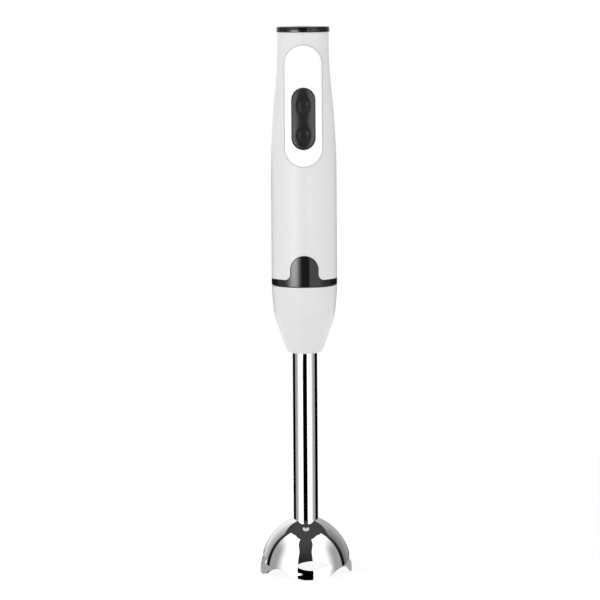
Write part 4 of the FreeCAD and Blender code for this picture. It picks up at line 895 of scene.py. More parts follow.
def make_cap():
    skin = Skin()
    hole = GLAND_RADIUS + SLIGHT
    turn(skin, rounded([
        (hole, CAP_UNDERSIDE), (SKIRT_BORE, CAP_UNDERSIDE), (SKIRT_BORE, SKIRT_LOW),
        (SKIRT_RADIUS, SKIRT_LOW, 0.3), (SKIRT_RADIUS, CAP_LOW),
        (CAP_RADIUS - SLIGHT, CAP_LOW, 0.25), (CAP_RADIUS, CAP_LINE, 0.2),
        (CAP_RADIUS - LINE_DEPTH, CAP_LINE + 0.1), (CAP_RADIUS - LINE_DEPTH, CAP_LINE + 0.4),
        (CAP_RADIUS - SLIGHT, CAP_LINE + 0.5, 0.2), (CAP_RADIUS - 0.15, CAP_RIM, 1.1),
        (GLAND_RADIUS + 2.2, TOP, 0.5), (hole, TOP - 0.5, 0.2)]))
    return skin.piece("cap")


def make_gland():
    skin = Skin()
    low, high = level("cord_gland"), level("cord_gland", "high")
    turn(skin, rounded([(GLAND_BORE, low), (GLAND_FLANGE, low, 0.3),
                        (GLAND_FLANGE, FLANGE_HIGH, 0.3), (GLAND_RADIUS, FLANGE_HIGH),
                        (GLAND_RADIUS, high, 0.35), (GLAND_BORE, high, 0.5)]), GLAND_STEPS)
    return skin.piece("gland")


cap, gland = make_cap(), make_gland()
print("cap and gland turned")

# %% [markdown]
# ## Button
# One soft rocker with a shallow thumb scoop over each of its two speeds. Its face follows the
# handle's skin, a little below the panel, and its rim is well rounded because it is moulded in
# rubber over a hard carrier.

# %% Make the button
BUTTON_RAISE, PAD_BACK = 0.5, -level("button_pad", "high", 1)
BUTTON_EDGE, BUTTON_ROWS = 0.7, (0.05, 0.14, 0.28, 0.45)
BUTTON_SPACING, BUTTON_STEP = 1.1, 0.8
SCOOP_ROWS = (4.6, 5.0, 5.3, 5.6, 6.0)              # circles of points round each scoop's rim
SCOOP_RADIUS, SCOOP_DEPTH, SCOOP_OFFSET, SCOOP_SOFT = 15.0, 1.0, 10.0, 0.45
BUTTON_MIDDLE = (BUTTON_LOW + BUTTON_HIGH) / 2


def make_button():
    right = capsule(BUTTON_HALF, BUTTON_LOW, BUTTON_HIGH, 20)
    loop = dense(right + [(-x, z) for x, z in right[::-1][1:-1]], BUTTON_STEP)
    circles = [dense(bow((0, BUTTON_MIDDLE + SCOOP_OFFSET * way), reach, 0, 360, 48), BUTTON_STEP)
               for way in (-1, 1) for reach in SCOOP_ROWS]
    flat, triangles = fill([loop], BUTTON_SPACING, BUTTON_ROWS + (BUTTON_EDGE,), circles)
    closed = [np.vstack([loop, loop[:1]])]

    def outside(flat):
        x, z = flat[:, 0], flat[:, 1]
        skin = handle_radius(z) + BUTTON_RAISE
        depth = np.sqrt(np.maximum(skin * skin - x * x, 1))
        for way in (-1, 1):
            middle = BUTTON_MIDDLE + SCOOP_OFFSET * way
            face = handle_radius(middle) + BUTTON_RAISE
            away = np.hypot(x, z - middle)
            ball = np.sqrt(np.maximum(SCOOP_RADIUS ** 2 - away ** 2, 1))
            cut = face + SCOOP_RADIUS - SCOOP_DEPTH - ball
            # a soft minimum rounds the scoop's rim
            depth = 0.5 * (depth + cut - np.sqrt((depth - cut) ** 2 + SCOOP_SOFT ** 2))
        depth = depth - eased(distance(flat, closed), BUTTON_EDGE)
        return np.stack([x, -depth, z], axis=1)

    outer, normals = lifted(outside, flat)
    inner = np.stack([flat[:, 0], np.full(len(flat), -PAD_BACK), flat[:, 1]], axis=1)
    skin = Skin()
    thicken(skin, outer, normals, inner, np.tile([0, 1.0, 0], (len(flat), 1)), triangles)
    return skin.piece("button_face")


button = make_button()
print("button face", len(button.data.polygons), "faces")

# %% [markdown]
# ## Leg collar and tube
# The collar carries the body's white down to the steel: a barrel, a fine crease, a cone and a
# rounded nose. The tube is plain drawn stainless, polished until it mirrors the room.

# %% Turn the collar and the tube
COLLAR_HIGH, COLLAR_LOW = level("leg_collar", "high"), level("leg_collar")
COLLAR_RADIUS = level("leg_collar", "high", 0)
TUBE_RADIUS = level("leg_tube", "high", 0)
TUBE_BORE, TUBE_EDGE = TUBE_RADIUS - 0.7, 0.15
CREASE = (20.8, COLLAR_HIGH - 18.9)
CONE = (18.25, COLLAR_HIGH - 27.9)
NOSE = (12.46, COLLAR_LOW + 2.2)
NOSE_FLAT, NOSE_EDGE = 9.36, 3.28
BARREL_ARC, CONE_ARC = 210.0, 80.0
SEAL_LOW, SEAL_HIGH, SEAL_REACH = COLLAR_LOW + 2.9, COLLAR_LOW + 5.1, TUBE_RADIUS + 1.6
FLANGE_BORE, FLANGE_LOW = 19.3, level("collar_core", "high") - 24.85
CORE_BORE, CORE_LOW = 12.43, level("collar_core") - 0.05
LAND, LAND_EDGE = 0.6, 0.35                         # the straight land at the collar's upper edge
BORE_GAP = 0.03          # between the collar and the tube


def make_collar():
    upper = bend((COLLAR_RADIUS, COLLAR_HIGH - LAND), CREASE, -BARREL_ARC)[::-1]
    lower = bend(CREASE, CONE, -CONE_ARC)[::-1]
    land = [(COLLAR_RADIUS, COLLAR_HIGH - LAND), (COLLAR_RADIUS, COLLAR_HIGH - LAND_EDGE),
            *bow((COLLAR_RADIUS - LAND_EDGE, COLLAR_HIGH - LAND_EDGE), LAND_EDGE, 0, 90, 6)]
    edge = bend((NOSE_FLAT, COLLAR_LOW), NOSE, NOSE_EDGE, 12)
    bore = TUBE_RADIUS + BORE_GAP
    inside = [(FLANGE_BORE, COLLAR_HIGH), (FLANGE_BORE, FLANGE_LOW), (CORE_BORE, FLANGE_LOW),
              (CORE_BORE, CORE_LOW), (bore, CORE_LOW), (bore, SEAL_HIGH), (SEAL_REACH, SEAL_HIGH),
              (SEAL_REACH, SEAL_LOW), (bore, SEAL_LOW)]
    skin = Skin()
    turn(skin, [(bore, COLLAR_LOW)] + edge + lower + upper[1:] + land[1:] + inside)
    return skin.piece("collar")


def make_tube():
    skin = Skin()
    low, high = level("leg_tube"), level("leg_tube", "high")
    turn(skin, rounded([(TUBE_BORE, low), (TUBE_RADIUS, low, TUBE_EDGE),
                        (TUBE_RADIUS, high, TUBE_EDGE), (TUBE_BORE, high)]))
    return skin.piece("tube")


collar, tube = make_collar(), make_tube()
print("collar and tube turned")

# %% [markdown]
# ## Bell
# The blade guard is pressed from sheet: a short rim, a side arc and a tighter crown. Four low
# arches cut its rim into feet, and an oval window stands over each foot, so that food is drawn in
# while the rim rests on the bottom of the jug. A quarter is laid out flat and repeated four times.

# %% Bell sizes
BELL_RADIUS, BELL_RISE, BELL_SIDE, BELL_BAND, BELL_WALL = 31.5, 36.4, 38.5, 1.8, 0.8
BELL_TURN = math.radians(8)
CROWN = ((BELL_RADIUS ** 2 + BELL_RISE ** 2 - 2 * BELL_RADIUS * BELL_SIDE)
         / (2 * (BELL_RISE - BELL_SIDE)))
CROWN_Z = BELL_BAND + BELL_RISE - CROWN
SIDE_ANGLE = math.atan2(BELL_RISE - CROWN, BELL_SIDE - BELL_RADIUS)
SIDE_LENGTH = BELL_BAND + BELL_SIDE * SIDE_ANGLE
PEAK_ANGLE = math.acos((TUBE_RADIUS + 0.01) / CROWN)
BELL_LENGTH = SIDE_LENGTH + CROWN * (PEAK_ANGLE - SIDE_ANGLE)
ARCH_HALF, ARCH_HEIGHT, ARCH_CROWN = 20.0, 6.5, 14.0
ARCH_FOOT = (ARCH_HALF ** 2 + ARCH_HEIGHT ** 2) / (2 * ARCH_HEIGHT) - ARCH_CROWN
WINDOW_HALF, WINDOW_HEIGHT, WINDOW_END, WINDOW_Z = 10.0, 3.2, 1.7, 9.8
RIM_STEPS, PEAK_POINTS, BELL_SPACING = 120, 41, 1.1


def bell_profile(t):
    """Radius, height and tilt of the bell's skin at a distance up from its rim."""
    t = np.asarray(t, float)
    side = np.clip((t - BELL_BAND) / BELL_SIDE, 0, SIDE_ANGLE)
    crown = SIDE_ANGLE + np.maximum(t - SIDE_LENGTH, 0) / CROWN
    upper = t > SIDE_LENGTH
    r = np.where(upper, CROWN * np.cos(crown), BELL_RADIUS - BELL_SIDE * (1 - np.cos(side)))
    z = np.where(upper, CROWN_Z + CROWN * np.sin(crown),
                 np.minimum(t, BELL_BAND) + BELL_SIDE * np.sin(side))
    return r, z, np.where(upper, crown, side)


def up_the_skin(z):
    """Distance up the skin at a height on its lower part."""
    return z if z < BELL_BAND else BELL_BAND + BELL_SIDE * math.asin((z - BELL_BAND) / BELL_SIDE)


def arch_level(x):
    x = min(abs(x), ARCH_HALF)
    edge = ARCH_HALF * (1 - ARCH_FOOT / (ARCH_FOOT + ARCH_CROWN))
    if x < edge:
        return ARCH_HEIGHT - ARCH_CROWN + math.sqrt(ARCH_CROWN ** 2 - x * x)
    return ARCH_FOOT - math.sqrt(max(ARCH_FOOT ** 2 - (ARCH_HALF - x) ** 2, 0))


# %% Build the bell
def window_loop():
    """The oval window: two wide arcs joined by small round ends."""
    inner = WINDOW_HALF - WINDOW_END
    wide = ((inner ** 2 + WINDOW_HEIGHT ** 2 - WINDOW_END ** 2)
            / (2 * (WINDOW_HEIGHT - WINDOW_END)))
    tilt = math.degrees(math.atan2(wide - WINDOW_HEIGHT, inner))
    shape = (bow((inner, 0), WINDOW_END, -tilt, tilt, 12)
             + bow((0, WINDOW_HEIGHT - wide), wide, tilt, 180 - tilt, 32)[1:-1]
             + bow((-inner, 0), WINDOW_END, 180 - tilt, 180 + tilt, 12)
             + bow((0, wide - WINDOW_HEIGHT), wide, 180 + tilt, 360 - tilt, 32)[1:-1])
    loop = []
    for x, z in shape:
        t = up_the_skin(z + WINDOW_Z)
        r = float(bell_profile(t)[0])
        loop.append((math.asin(x / r) * BELL_RADIUS, t))
    return loop


def make_bell():
    quarter = math.pi / 4                               # half of one quarter's angle
    rim = []
    for k in range(RIM_STEPS + 1):
        angle = -quarter + 2 * quarter * k / RIM_STEPS
        reach = quarter - abs(angle)
        t = up_the_skin(arch_level(BELL_RADIUS * math.sin(reach)))
        r = float(bell_profile(t)[0])
        rim.append((angle * BELL_RADIUS, up_the_skin(arch_level(r * math.sin(reach)))))
    side = dense([rim[-1], (quarter * BELL_RADIUS, BELL_LENGTH)], 1.0, False)[1:]
    across = np.linspace(-quarter, quarter, PEAK_POINTS)[1:-1] * BELL_RADIUS
    top = [(-u, BELL_LENGTH) for u in across]
    outline = rim + side + top + [(-u, t) for u, t in side[::-1]]
    window = window_loop()
    flat, triangles = fill([outline, window], BELL_SPACING, EDGE_ROWS)
    low = [(u + turned * 2 * quarter * BELL_RADIUS, t) for turned in (-1, 0, 1) for u, t in rim]
    paths = [np.array(low), np.array(window + window[:1])]
    skin = Skin()
    piles = [[], [], [], [], []]
    for turned in range(4):
        swing = turned * 2 * quarter + BELL_TURN

        def outside(flat, drop=True):
            r, z, tilt = bell_profile(flat[:, 1])
            fall = eased(distance(flat, paths), EDGE_RADIUS) if drop else BELL_WALL
            r, z = r - fall * np.cos(tilt), z - fall * np.sin(tilt)
            angle = flat[:, 0] / BELL_RADIUS + swing
            return np.stack([r * np.sin(angle), -r * np.cos(angle), z], axis=1)

        outer, normals = lifted(outside, flat)
        inner, inside = lifted(lambda flat: outside(flat, False), flat)
        parts = (outer, normals, inner, -inside, triangles + len(flat) * turned)
        for pile, part in zip(piles, parts):
            pile.append(part)
    thicken(skin, *(np.concatenate(pile) for pile in piles))
    return skin.piece("bell")


bell = make_bell()
print("bell", len(bell.data.polygons), "faces")

# %% [markdown]
# ## Screws and fan
# A screw is the same part many times over, so one tree of geometry nodes makes a ring of them: a
# tapered pan head with a cross cut into it, and a plain shank. The number, the circle and the sizes
# are inputs, so the same tree serves every ring of screws in the blender.


# %% Tree helpers
def new_tree(name, inputs):
    """An empty geometry tree with named inputs and one geometry output."""
    tree = bpy.data.node_groups.new(name, "GeometryNodeTree")
    tree.interface.new_socket("Geometry", in_out="OUTPUT", socket_type="NodeSocketGeometry")
    for label, kind in inputs:
        tree.interface.new_socket(label, in_out="INPUT", socket_type="NodeSocket" + kind)
    entry = tree.nodes.new("NodeGroupInput")
    return tree, {label: entry.outputs[label] for label, _ in inputs}


def geometry_node(tree, kind, settings=(), **inputs):
    node = tree.nodes.new("GeometryNode" + kind)
    for name, value in settings:
        setattr(node, name, value)
    for name, thing in inputs.items():
        link_in(tree, node.inputs[name.replace("_", " ")], thing)
    return node


def joined(tree, *parts):
    node = tree.nodes.new("GeometryNodeJoinGeometry")
    for part in reversed(parts):
        tree.links.new(part, node.inputs[0])
    return node.outputs[0]


def vector(tree, x=0.0, y=0.0, z=0.0):
    node = tree.nodes.new("ShaderNodeCombineXYZ")
    for socket, thing in zip(node.inputs, (x, y, z)):
        link_in(tree, socket, thing)
    return node.outputs[0]


def moved(tree, shape, place=(0, 0, 0), turned=(0, 0, 0)):
    return geometry_node(tree, "Transform", Geometry=shape, Translation=place,
                         Rotation=turned).outputs[0]


def repeated(tree, shape, count, start=0.0):
    """Copies of a shape, spaced evenly about Z."""
    points = geometry_node(tree, "Points", Count=count).outputs[0]
    index = tree.nodes.new("GeometryNodeInputIndex").outputs[0]
    step = maths(tree, "DIVIDE", 2 * math.pi, count)
    angle = maths(tree, "MULTIPLY_ADD", index, step, start)
    copies = geometry_node(tree, "InstanceOnPoints", Points=points, Instance=shape,
                           Rotation=vector(tree, z=angle)).outputs[0]
    return geometry_node(tree, "RealizeInstances", Geometry=copies).outputs[0]


def finish_tree(tree, shape, material):
    done = geometry_node(tree, "SetMaterial", Geometry=shape, Material=material).outputs[0]
    out = tree.nodes.new("NodeGroupOutput")
    tree.links.new(done, out.inputs[0])


def grown(name, tree, values):
    """Run a tree on an empty object and keep the result as a plain mesh."""
    seed = put_in_scene(name + "_seed", bpy.data.meshes.new(name + "_seed"))
    modifier = seed.modifiers.new("grow", "NODES")
    modifier.node_group = tree
    for socket in tree.interface.items_tree:
        if socket.in_out == "INPUT" and socket.name in values:
            modifier[socket.identifier] = values[socket.name]
    ready = seed.evaluated_get(bpy.context.evaluated_depsgraph_get())
    mesh = bpy.data.meshes.new_from_object(ready)
    mesh.name = name
    mesh.shade_smooth()
    mesh.set_sharp_from_angle(angle=SHARP_ANGLE)
    seed.modifiers.clear()
    bpy.data.objects.remove(seed)
    return put_in_scene(name, mesh)


# %% A ring of screws
HEAD_TAPER = 0.78        # a head's top, as a share of its widest radius
CROSS_LONG, CROSS_WIDE = 1.1, 0.24                  # the cross, as shares of the same radius
CROSS_DEEP = 1.1         # its cutter's height, as a share of the head's


def make_screw_tree():
    tree, given = new_tree("screw_ring", (
        ("Count", "Int"), ("Circle", "Float"), ("Start", "Float"), ("Head radius", "Float"),
        ("Head height", "Float"), ("Shank radius", "Float"), ("Shank length", "Float"),
        ("Turned", "Vector"), ("Place", "Vector"), ("Material", "Material")))
    reach, high = given["Head radius"], given["Head height"]
    top = maths(tree, "MULTIPLY", reach, HEAD_TAPER)
    head = geometry_node(tree, "MeshCone", Vertices=32, Radius_Top=top, Radius_Bottom=reach,
                         Depth=high).outputs[0]
    long, narrow, deep = (maths(tree, "MULTIPLY", thing, share) for thing, share in (
        (reach, CROSS_LONG), (reach, CROSS_WIDE), (high, CROSS_DEEP)))
    slots = [geometry_node(tree, "MeshCube", Size=vector(tree, *sides, deep)).outputs[0]
             for sides in ((long, narrow), (narrow, long))]
    cross = geometry_node(tree, "MeshBoolean", (("operation", "UNION"),))
    for slot in slots:
        tree.links.new(slot, cross.inputs["Mesh 2"])
    cut = moved(tree, cross.outputs[0], vector(tree, z=high))
    head = geometry_node(tree, "MeshBoolean", (("operation", "DIFFERENCE"),), Mesh_1=head,
                         Mesh_2=cut)
    shank = geometry_node(tree, "MeshCylinder", Vertices=24, Radius=given["Shank radius"],
                          Depth=given["Shank length"]).outputs[0]
    half = maths(tree, "MULTIPLY", given["Shank length"], -0.5)
    screw = joined(tree, head.outputs[0], moved(tree, shank, vector(tree, z=half)))
    screw = moved(tree, screw, vector(tree, given["Circle"]))
    ring_of_screws = repeated(tree, screw, given["Count"], given["Start"])
    ring_of_screws = moved(tree, ring_of_screws, given["Place"], given["Turned"])
    finish_tree(tree, ring_of_screws, given["Material"])
    return tree


zinc = bpy.data.materials.new("zinc_screw_steel")
screw_tree = make_screw_tree()


UP, DOWN, FORWARD = (0, 0, 0), (180, 0, 0), (90, 0, 0)
PROUD = 0.15             # how far the ring's screw heads stand below it
clamp_front = level("clamp_screws", "low", 1)
clamp_z = (level("clamp_screws") + level("clamp_screws", "high")) / 2
# piece, part it stands for, count, circle, first angle, head radius, head height, shank radius,
# turn, and where the shank starts and ends along the screw's own line
SCREW_SETS = (
    ("screws_in_collar", "collar_screws", 3, 16.0, 0, 2.3, 1.8, 1.1, UP,
     level("collar_screws", "high") - 1.8, level("collar_screws")),
    ("screws_in_ring", "base_screws", 4, 19.6, 45, 1.95, 1.7, 1.1, DOWN,
     RING_LOW - PROUD + 1.7, level("base_screws", "high")),
    ("screws_in_motor", "motor_screws", 2, 9.0, 0, 2.7, 1.8, 1.5, DOWN,
     level("motor_screws") + 1.8, level("motor_screws", "high")),
    ("screws_in_clamp", "clamp_screws", 2, 7.6, 0, 2.1, 1.6, 1.1, FORWARD,
     clamp_front + 1.6, level("clamp_screws", "high", 1)))


def screws(name, node, count, circle, angle, head, height, shank, turned, start, end):
    place = (0, start, clamp_z) if turned == FORWARD else (0, 0, start)
    return node, grown(name, screw_tree, {
        "Count": count, "Circle": circle * MM, "Start": math.radians(angle),
        "Head radius": head * MM, "Head height": height * MM, "Shank radius": shank * MM,
        "Shank length": abs(end - start) * MM, "Turned": tuple(math.radians(a) for a in turned),
        "Place": tuple(p * MM for p in place), "Material": zinc})


screw_sets = [screws(*row) for row in SCREW_SETS]
print("screws:", [(item.name, len(item.data.polygons)) for _, item in screw_sets])


# %% [markdown]
# The motor's fan is a disc, a hub and a ring of vanes that curve back from the way it turns. One
# vane is a thin block with points along it, bent by a formula, then repeated by the same helper.

# %% The cooling fan
FAN_VANES, FAN_RADIUS, FAN_HUB, FAN_DISC, FAN_SWEEP = 11, 15.6, 5.5, 1.2, 3.4
VANE_THICK, VANE_INSET = 0.9, 0.2
SWEEP_PULL = 0.25        # a swept vane draws in by this share, so that it stays on the disc
VANE_MIDDLE = 0.47       # its middle, as a share of the way from hub to rim


def make_fan_tree():
    tree, given = new_tree("fan", (
        ("Vanes", "Int"), ("Radius", "Float"), ("Hub", "Float"), ("Height", "Float"),
        ("Disc", "Float"), ("Sweep", "Float"), ("Base", "Float"), ("Material", "Material")))
    radius, high = given["Radius"], given["Height"]
    disc = geometry_node(tree, "MeshCylinder", Vertices=96, Radius=radius,
                         Depth=given["Disc"]).outputs[0]
    disc = moved(tree, disc, vector(tree, z=maths(tree, "SUBTRACT", high, maths(
        tree, "MULTIPLY", given["Disc"], 0.5))))
    middle = maths(tree, "MULTIPLY", high, 0.5)
    hub = geometry_node(tree, "MeshCylinder", Vertices=48, Radius=given["Hub"],
                        Depth=high).outputs[0]
    hub = moved(tree, hub, vector(tree, z=middle))
    run = maths(tree, "SUBTRACT", radius, given["Hub"])
    vane = geometry_node(tree, "MeshCube", Size=vector(tree, run, VANE_THICK * MM, maths(
        tree, "SUBTRACT", high, VANE_INSET * MM)), Vertices_X=12).outputs[0]
    along = split(tree, tree.nodes.new("GeometryNodeInputPosition").outputs[0])[0]
    share = maths(tree, "ADD", maths(tree, "DIVIDE", along, run), 0.5)
    swing = maths(tree, "MULTIPLY", maths(tree, "MULTIPLY", share, share), given["Sweep"])
    vane = geometry_node(tree, "SetPosition", Geometry=vane, Offset=vector(
        tree, maths(tree, "MULTIPLY", swing, -SWEEP_PULL), swing)).outputs[0]
    out = maths(tree, "ADD", given["Hub"], maths(tree, "MULTIPLY", run, VANE_MIDDLE))
    vane = moved(tree, vane, vector(tree, out, 0.0, middle))
    whole = joined(tree, disc, hub, repeated(tree, vane, given["Vanes"]))
    finish_tree(tree, moved(tree, whole, vector(tree, z=given["Base"])), given["Material"])
    return tree


fan_plastic = bpy.data.materials.new("fan_plastic")
fan_low, fan_high = level("cooling_fan"), level("cooling_fan", "high")
fan = grown("fan_with_vanes", make_fan_tree(), {
    "Vanes": FAN_VANES, "Radius": FAN_RADIUS * MM, "Hub": FAN_HUB * MM,
    "Height": (fan_high - fan_low) * MM, "Disc": FAN_DISC * MM, "Sweep": FAN_SWEEP * MM,
    "Base": fan_low * MM, "Material": fan_plastic})
print("fan", len(fan.data.polygons), "faces")

# %% [markdown]
# ## Effects that finishes share
# No real surface is one even colour. Moulded plastic has a faint grain, hands leave smudges that
# change its gloss, turned metal keeps the marks of the tool, and dust settles on what faces up.
# Each effect is a node group, built once and placed in every finish with its own values.


# %% Group helper
def effect(name, inputs, output):
    """A shader group with float or colour inputs and one output."""
    tree = bpy.data.node_groups.new(name, "ShaderNodeTree")
    for label, kind in inputs:
        tree.interface.new_socket(label, in_out="INPUT", socket_type="NodeSocket" + kind)
    tree.interface.new_socket(output[0], in_out="OUTPUT", socket_type="NodeSocket" + output[1])
    entry, out = tree.nodes.new("NodeGroupInput"), tree.nodes.new("NodeGroupOutput")
    return tree, entry.outputs, out.inputs[0], own_place(tree)


def noise(tree, place, scale, detail=3.0):
    node = tree.nodes.new("ShaderNodeTexNoise")
    link_in(tree, node.inputs["Vector"], place)
    link_in(tree, node.inputs["Scale"], scale)
    node.inputs["Detail"].default_value = detail
    return node.outputs["Fac"]


# %% Build the shared effects
def make_mottle():
    tree, given, out, place = effect("mottle", (("Colour", "Color"), ("Amount", "Float"),
                                                ("Scale", "Float")), ("Colour", "Color"))
    share = maths(tree, "MULTIPLY", ramp(tree, noise(tree, place, given["Scale"]), 0.35, 0.65),
                  given["Amount"])
    dark = blend_colours(tree, share, given["Colour"], (0, 0, 0, 1))
    tree.links.new(dark, out)
    return tree


def make_handling():
    tree, given, out, place = effect("handling", (("Roughness", "Float"), ("Amount", "Float"),
                                                  ("Scale", "Float")), ("Roughness", "Float"))
    wide = noise(tree, place, given["Scale"], 2.0)
    fine = noise(tree, place, maths(tree, "MULTIPLY", given["Scale"], 9.0), 5.0)
    mark = maths(tree, "MULTIPLY", ramp(tree, wide, 0.4, 0.7), fine)
    total = maths(tree, "MULTIPLY_ADD", mark, given["Amount"], given["Roughness"])
    tree.links.new(total, out)
    return tree


def make_grain():
    tree, given, out, place = effect("fine_grain", (("Size", "Float"), ("Depth", "Float")),
                                     ("Height", "Float"))
    scale = maths(tree, "DIVIDE", 1.0, given["Size"])
    tree.links.new(maths(tree, "MULTIPLY", noise(tree, place, scale, 2.0), given["Depth"]), out)
    return tree


def make_marks():
    tree, given, out, place = effect("turning_marks", (("Pitch", "Float"), ("Depth", "Float")),
                                     ("Height", "Float"))
    turns = maths(tree, "DIVIDE", split(tree, place)[2], given["Pitch"])
    wander = maths(tree, "MULTIPLY_ADD", noise(tree, place, 120.0), 2.0, maths(
        tree, "MULTIPLY", turns, 2 * math.pi))
    tree.links.new(maths(tree, "MULTIPLY", maths(tree, "SINE", wander), given["Depth"]), out)
    return tree


def make_dust():
    tree, given, out, place = effect("settled_dust", (("Amount", "Float"),), ("Share", "Float"))
    facing = split(tree, tree.nodes.new("ShaderNodeNewGeometry").outputs["Normal"])
    up = ramp(tree, facing[2], 0.5, 1.0)
    specks = ramp(tree, noise(tree, place, 900.0, 4.0), 0.45, 0.7)
    tree.links.new(times(tree, up, specks, given["Amount"]), out)
    return tree


def make_specks():
    tree, given, out, place = effect("specks", (("Size", "Float"), ("Share", "Float")),
                                     ("Mask", "Float"))
    cells = tree.nodes.new("ShaderNodeTexVoronoi")
    link_in(tree, cells.inputs["Vector"], place)
    link_in(tree, cells.inputs["Scale"], maths(tree, "DIVIDE", 1.0, given["Size"]))
    near = ramp(tree, cells.outputs["Distance"], given["Share"], 0.0)
    tree.links.new(near, out)
    return tree


EFFECTS = {tree.name: tree for tree in (make_mottle(), make_handling(), make_grain(), make_marks(),
                                        make_dust(), make_specks())}
print("shared effects:", ", ".join(EFFECTS))


# %% [markdown]
# ## Finishes
# A finish starts from the record's colour for its slot. The helper below lays the shared effects
# over it in the same order each time: colour, dust, gloss, then relief. Values that are the same
# all over, such as the strength of a clear coat, are set straight on the shader.

# %% The finish helper
DUST_COLOUR, DUST_DULLS = (0.6, 0.58, 0.55, 1), 0.5
SMUDGE_SCALE = 45.0      # per metre


def placed(tree, name, **values):
    node = tree.nodes.new("ShaderNodeGroup")
    node.node_tree = EFFECTS[name]
    for label, value in values.items():
        link_in(tree, node.inputs[label], value)
    return node.outputs[0]


def record_colour(slot):
    row = next(row for row in frame["record"]["materials"] if row["slot"] == slot)
    return (*row["base_color"][:3], 1.0)


def finish(name, colour, roughness, vary=0.05, patch=60.0, smudge=0.04, grain=(0.3, 0.004),
           marks=None, specks=None, dust=0.02, paint=None, **fixed):
    """A procedural material; sizes and depths are in millimetres, fixed values go on the shader."""
    material = bpy.data.materials.get(name) or bpy.data.materials.new(name)
    material.use_nodes = True
    tree = material.node_tree
    shader = tree.nodes["Principled BSDF"]
    tone = placed(tree, "mottle", Colour=colour, Amount=vary, Scale=patch)
    if paint:
        tone = paint(tree, tone)
    relief = placed(tree, "fine_grain", Size=grain[0] * MM, Depth=grain[1] * MM) if grain else None
    if specks:
        mask = placed(tree, "specks", Size=specks[0] * MM, Share=specks[1])
        tone = blend_colours(tree, mask, tone, specks[2])
        relief = maths(tree, "MULTIPLY_ADD", mask, -specks[3] * MM, relief)
    if marks:
        relief = maths(tree, "ADD", relief, placed(tree, "turning_marks", Pitch=marks[0] * MM,
                                                   Depth=marks[1] * MM))
    share = placed(tree, "settled_dust", Amount=dust)
    tree.links.new(blend_colours(tree, share, tone, DUST_COLOUR), shader.inputs["Base Color"])
    gloss = placed(tree, "handling", Roughness=roughness, Amount=smudge, Scale=SMUDGE_SCALE)
    dulled = maths(tree, "MULTIPLY_ADD", share, DUST_DULLS, gloss, clamp=True)
    link_in(tree, shader.inputs["Roughness"], dulled)
    if relief is not None:
        bump = tree.nodes.new("ShaderNodeBump")
        bump.inputs["Distance"].default_value = 1.0
        link_in(tree, bump.inputs["Height"], relief)
        tree.links.new(bump.outputs[0], shader.inputs["Normal"])
    for label, value in fixed.items():
        shader.inputs[label.replace("_", " ")].default_value = value
    return material


# %% [markdown]
# The body and collar are a light grey-white, and the raised panel is painted a cleaner white.
# The soft grey line round the panel's edge is painted shadow, where its step would shade the
# shell. The mask is the panel's own shape, from each point's place, so it falls on the step.

# %% White plastic
BODY_WHITE, PANEL_WHITE = (0.695, 0.698, 0.706, 1), (0.92, 0.92, 0.92, 1)
# painted shadow: a grey line along the panel's edge, where its step would shade the shell
PANEL_SHADOW_GREY, PANEL_SHADOW_STRENGTH = (0.45, 0.455, 0.465, 1), 0.8
PANEL_BLUR, SHADOW_LINE_BLUR = 0.3, 0.4
FRONT_Y = -0.01          # the panel lies in front of this plane, in metres


def panel_white_and_shadow(tree, tone):
    x, y, z = split(tree, own_place(tree))
    end = maths(tree, "MINIMUM", maths(tree, "MAXIMUM", z, (PANEL_LOW + PANEL_HALF) * MM),
                (PANEL_HIGH - PANEL_HALF) * MM)
    rise = maths(tree, "SUBTRACT", z, end)
    reach = maths(tree, "SQRT", maths(tree, "ADD", maths(tree, "MULTIPLY", x, x),
                                      maths(tree, "MULTIPLY", rise, rise)))
    front = maths(tree, "LESS_THAN", y, FRONT_Y)
    inner = (PANEL_HALF - PANEL_EDGE) * MM
    panel = times(tree, front, ramp(tree, reach, inner, (PANEL_HALF - PANEL_BLUR) * MM, 1.0, 0.0))
    # the painted shadow line along the panel's edge step
    line = times(tree, ramp(tree, reach, inner, (PANEL_HALF - SHADOW_LINE_BLUR) * MM),
                 ramp(tree, reach, (PANEL_HALF - SHADOW_LINE_BLUR) * MM, (PANEL_HALF + SHADOW_LINE_BLUR) * MM,
                      1.0, 0.0))
    tone = blend_colours(tree, panel, tone, PANEL_WHITE)
    painted_shadow = times(tree, line, times(tree, front, PANEL_SHADOW_STRENGTH))
    return blend_colours(tree, painted_shadow, tone, PANEL_SHADOW_GREY)


finishes = {}
finishes["white_shell"] = finish("white_moulding", BODY_WHITE, 0.16, vary=0.015, patch=30,
                                 smudge=0.05, grain=(1.6, 0.0015), dust=0.0, paint=panel_white_and_shadow,
                                 Specular_IOR_Level=0.15)
print("body white", BODY_WHITE[:3], "panel white", PANEL_WHITE[:3])

# %% [markdown]
# Gloss black shows almost nothing but reflections, so its own colour is nearly none. The button is
# a soft rubber with a satin bloom. The leg is polished to a mirror, so it has no grain to bump:
# only its colour and gloss vary a little, where hands have been.

# %% Outside finishes
finishes["black_gloss"] = finish("black_piano_plastic", (0.01, 0.01, 0.011, 1), 0.07, vary=0.1,
                                 smudge=0.05, grain=(2.0, 0.001), dust=0.004, IOR=1.48)
finishes["soft_black"] = finish("soft_rubber", (0.014, 0.0125, 0.0155, 1), 0.24, vary=0.15,
                                patch=110, smudge=0.12, grain=(0.22, 0.004), dust=0.004, IOR=1.65,
                                Sheen_Weight=0.1, Sheen_Roughness=0.5)
finishes["polished_steel"] = finish("polished_stainless", (0.88, 0.885, 0.89, 1), 0.028, vary=0.01,
                                    smudge=0.03, grain=None, dust=0.0, Metallic=1.0)
print("outside finishes ready")

# %% [markdown]
# Inside, each working material keeps the sign of how it was made: laminations are stacked sheets,
# wound copper is ridged, sintered bronze is full of tiny pores, a board shows its tracks.

# %% Inside finishes
GREEN_TRACK, TRACK_SCALE = (0.16, 0.42, 0.2, 1), 260


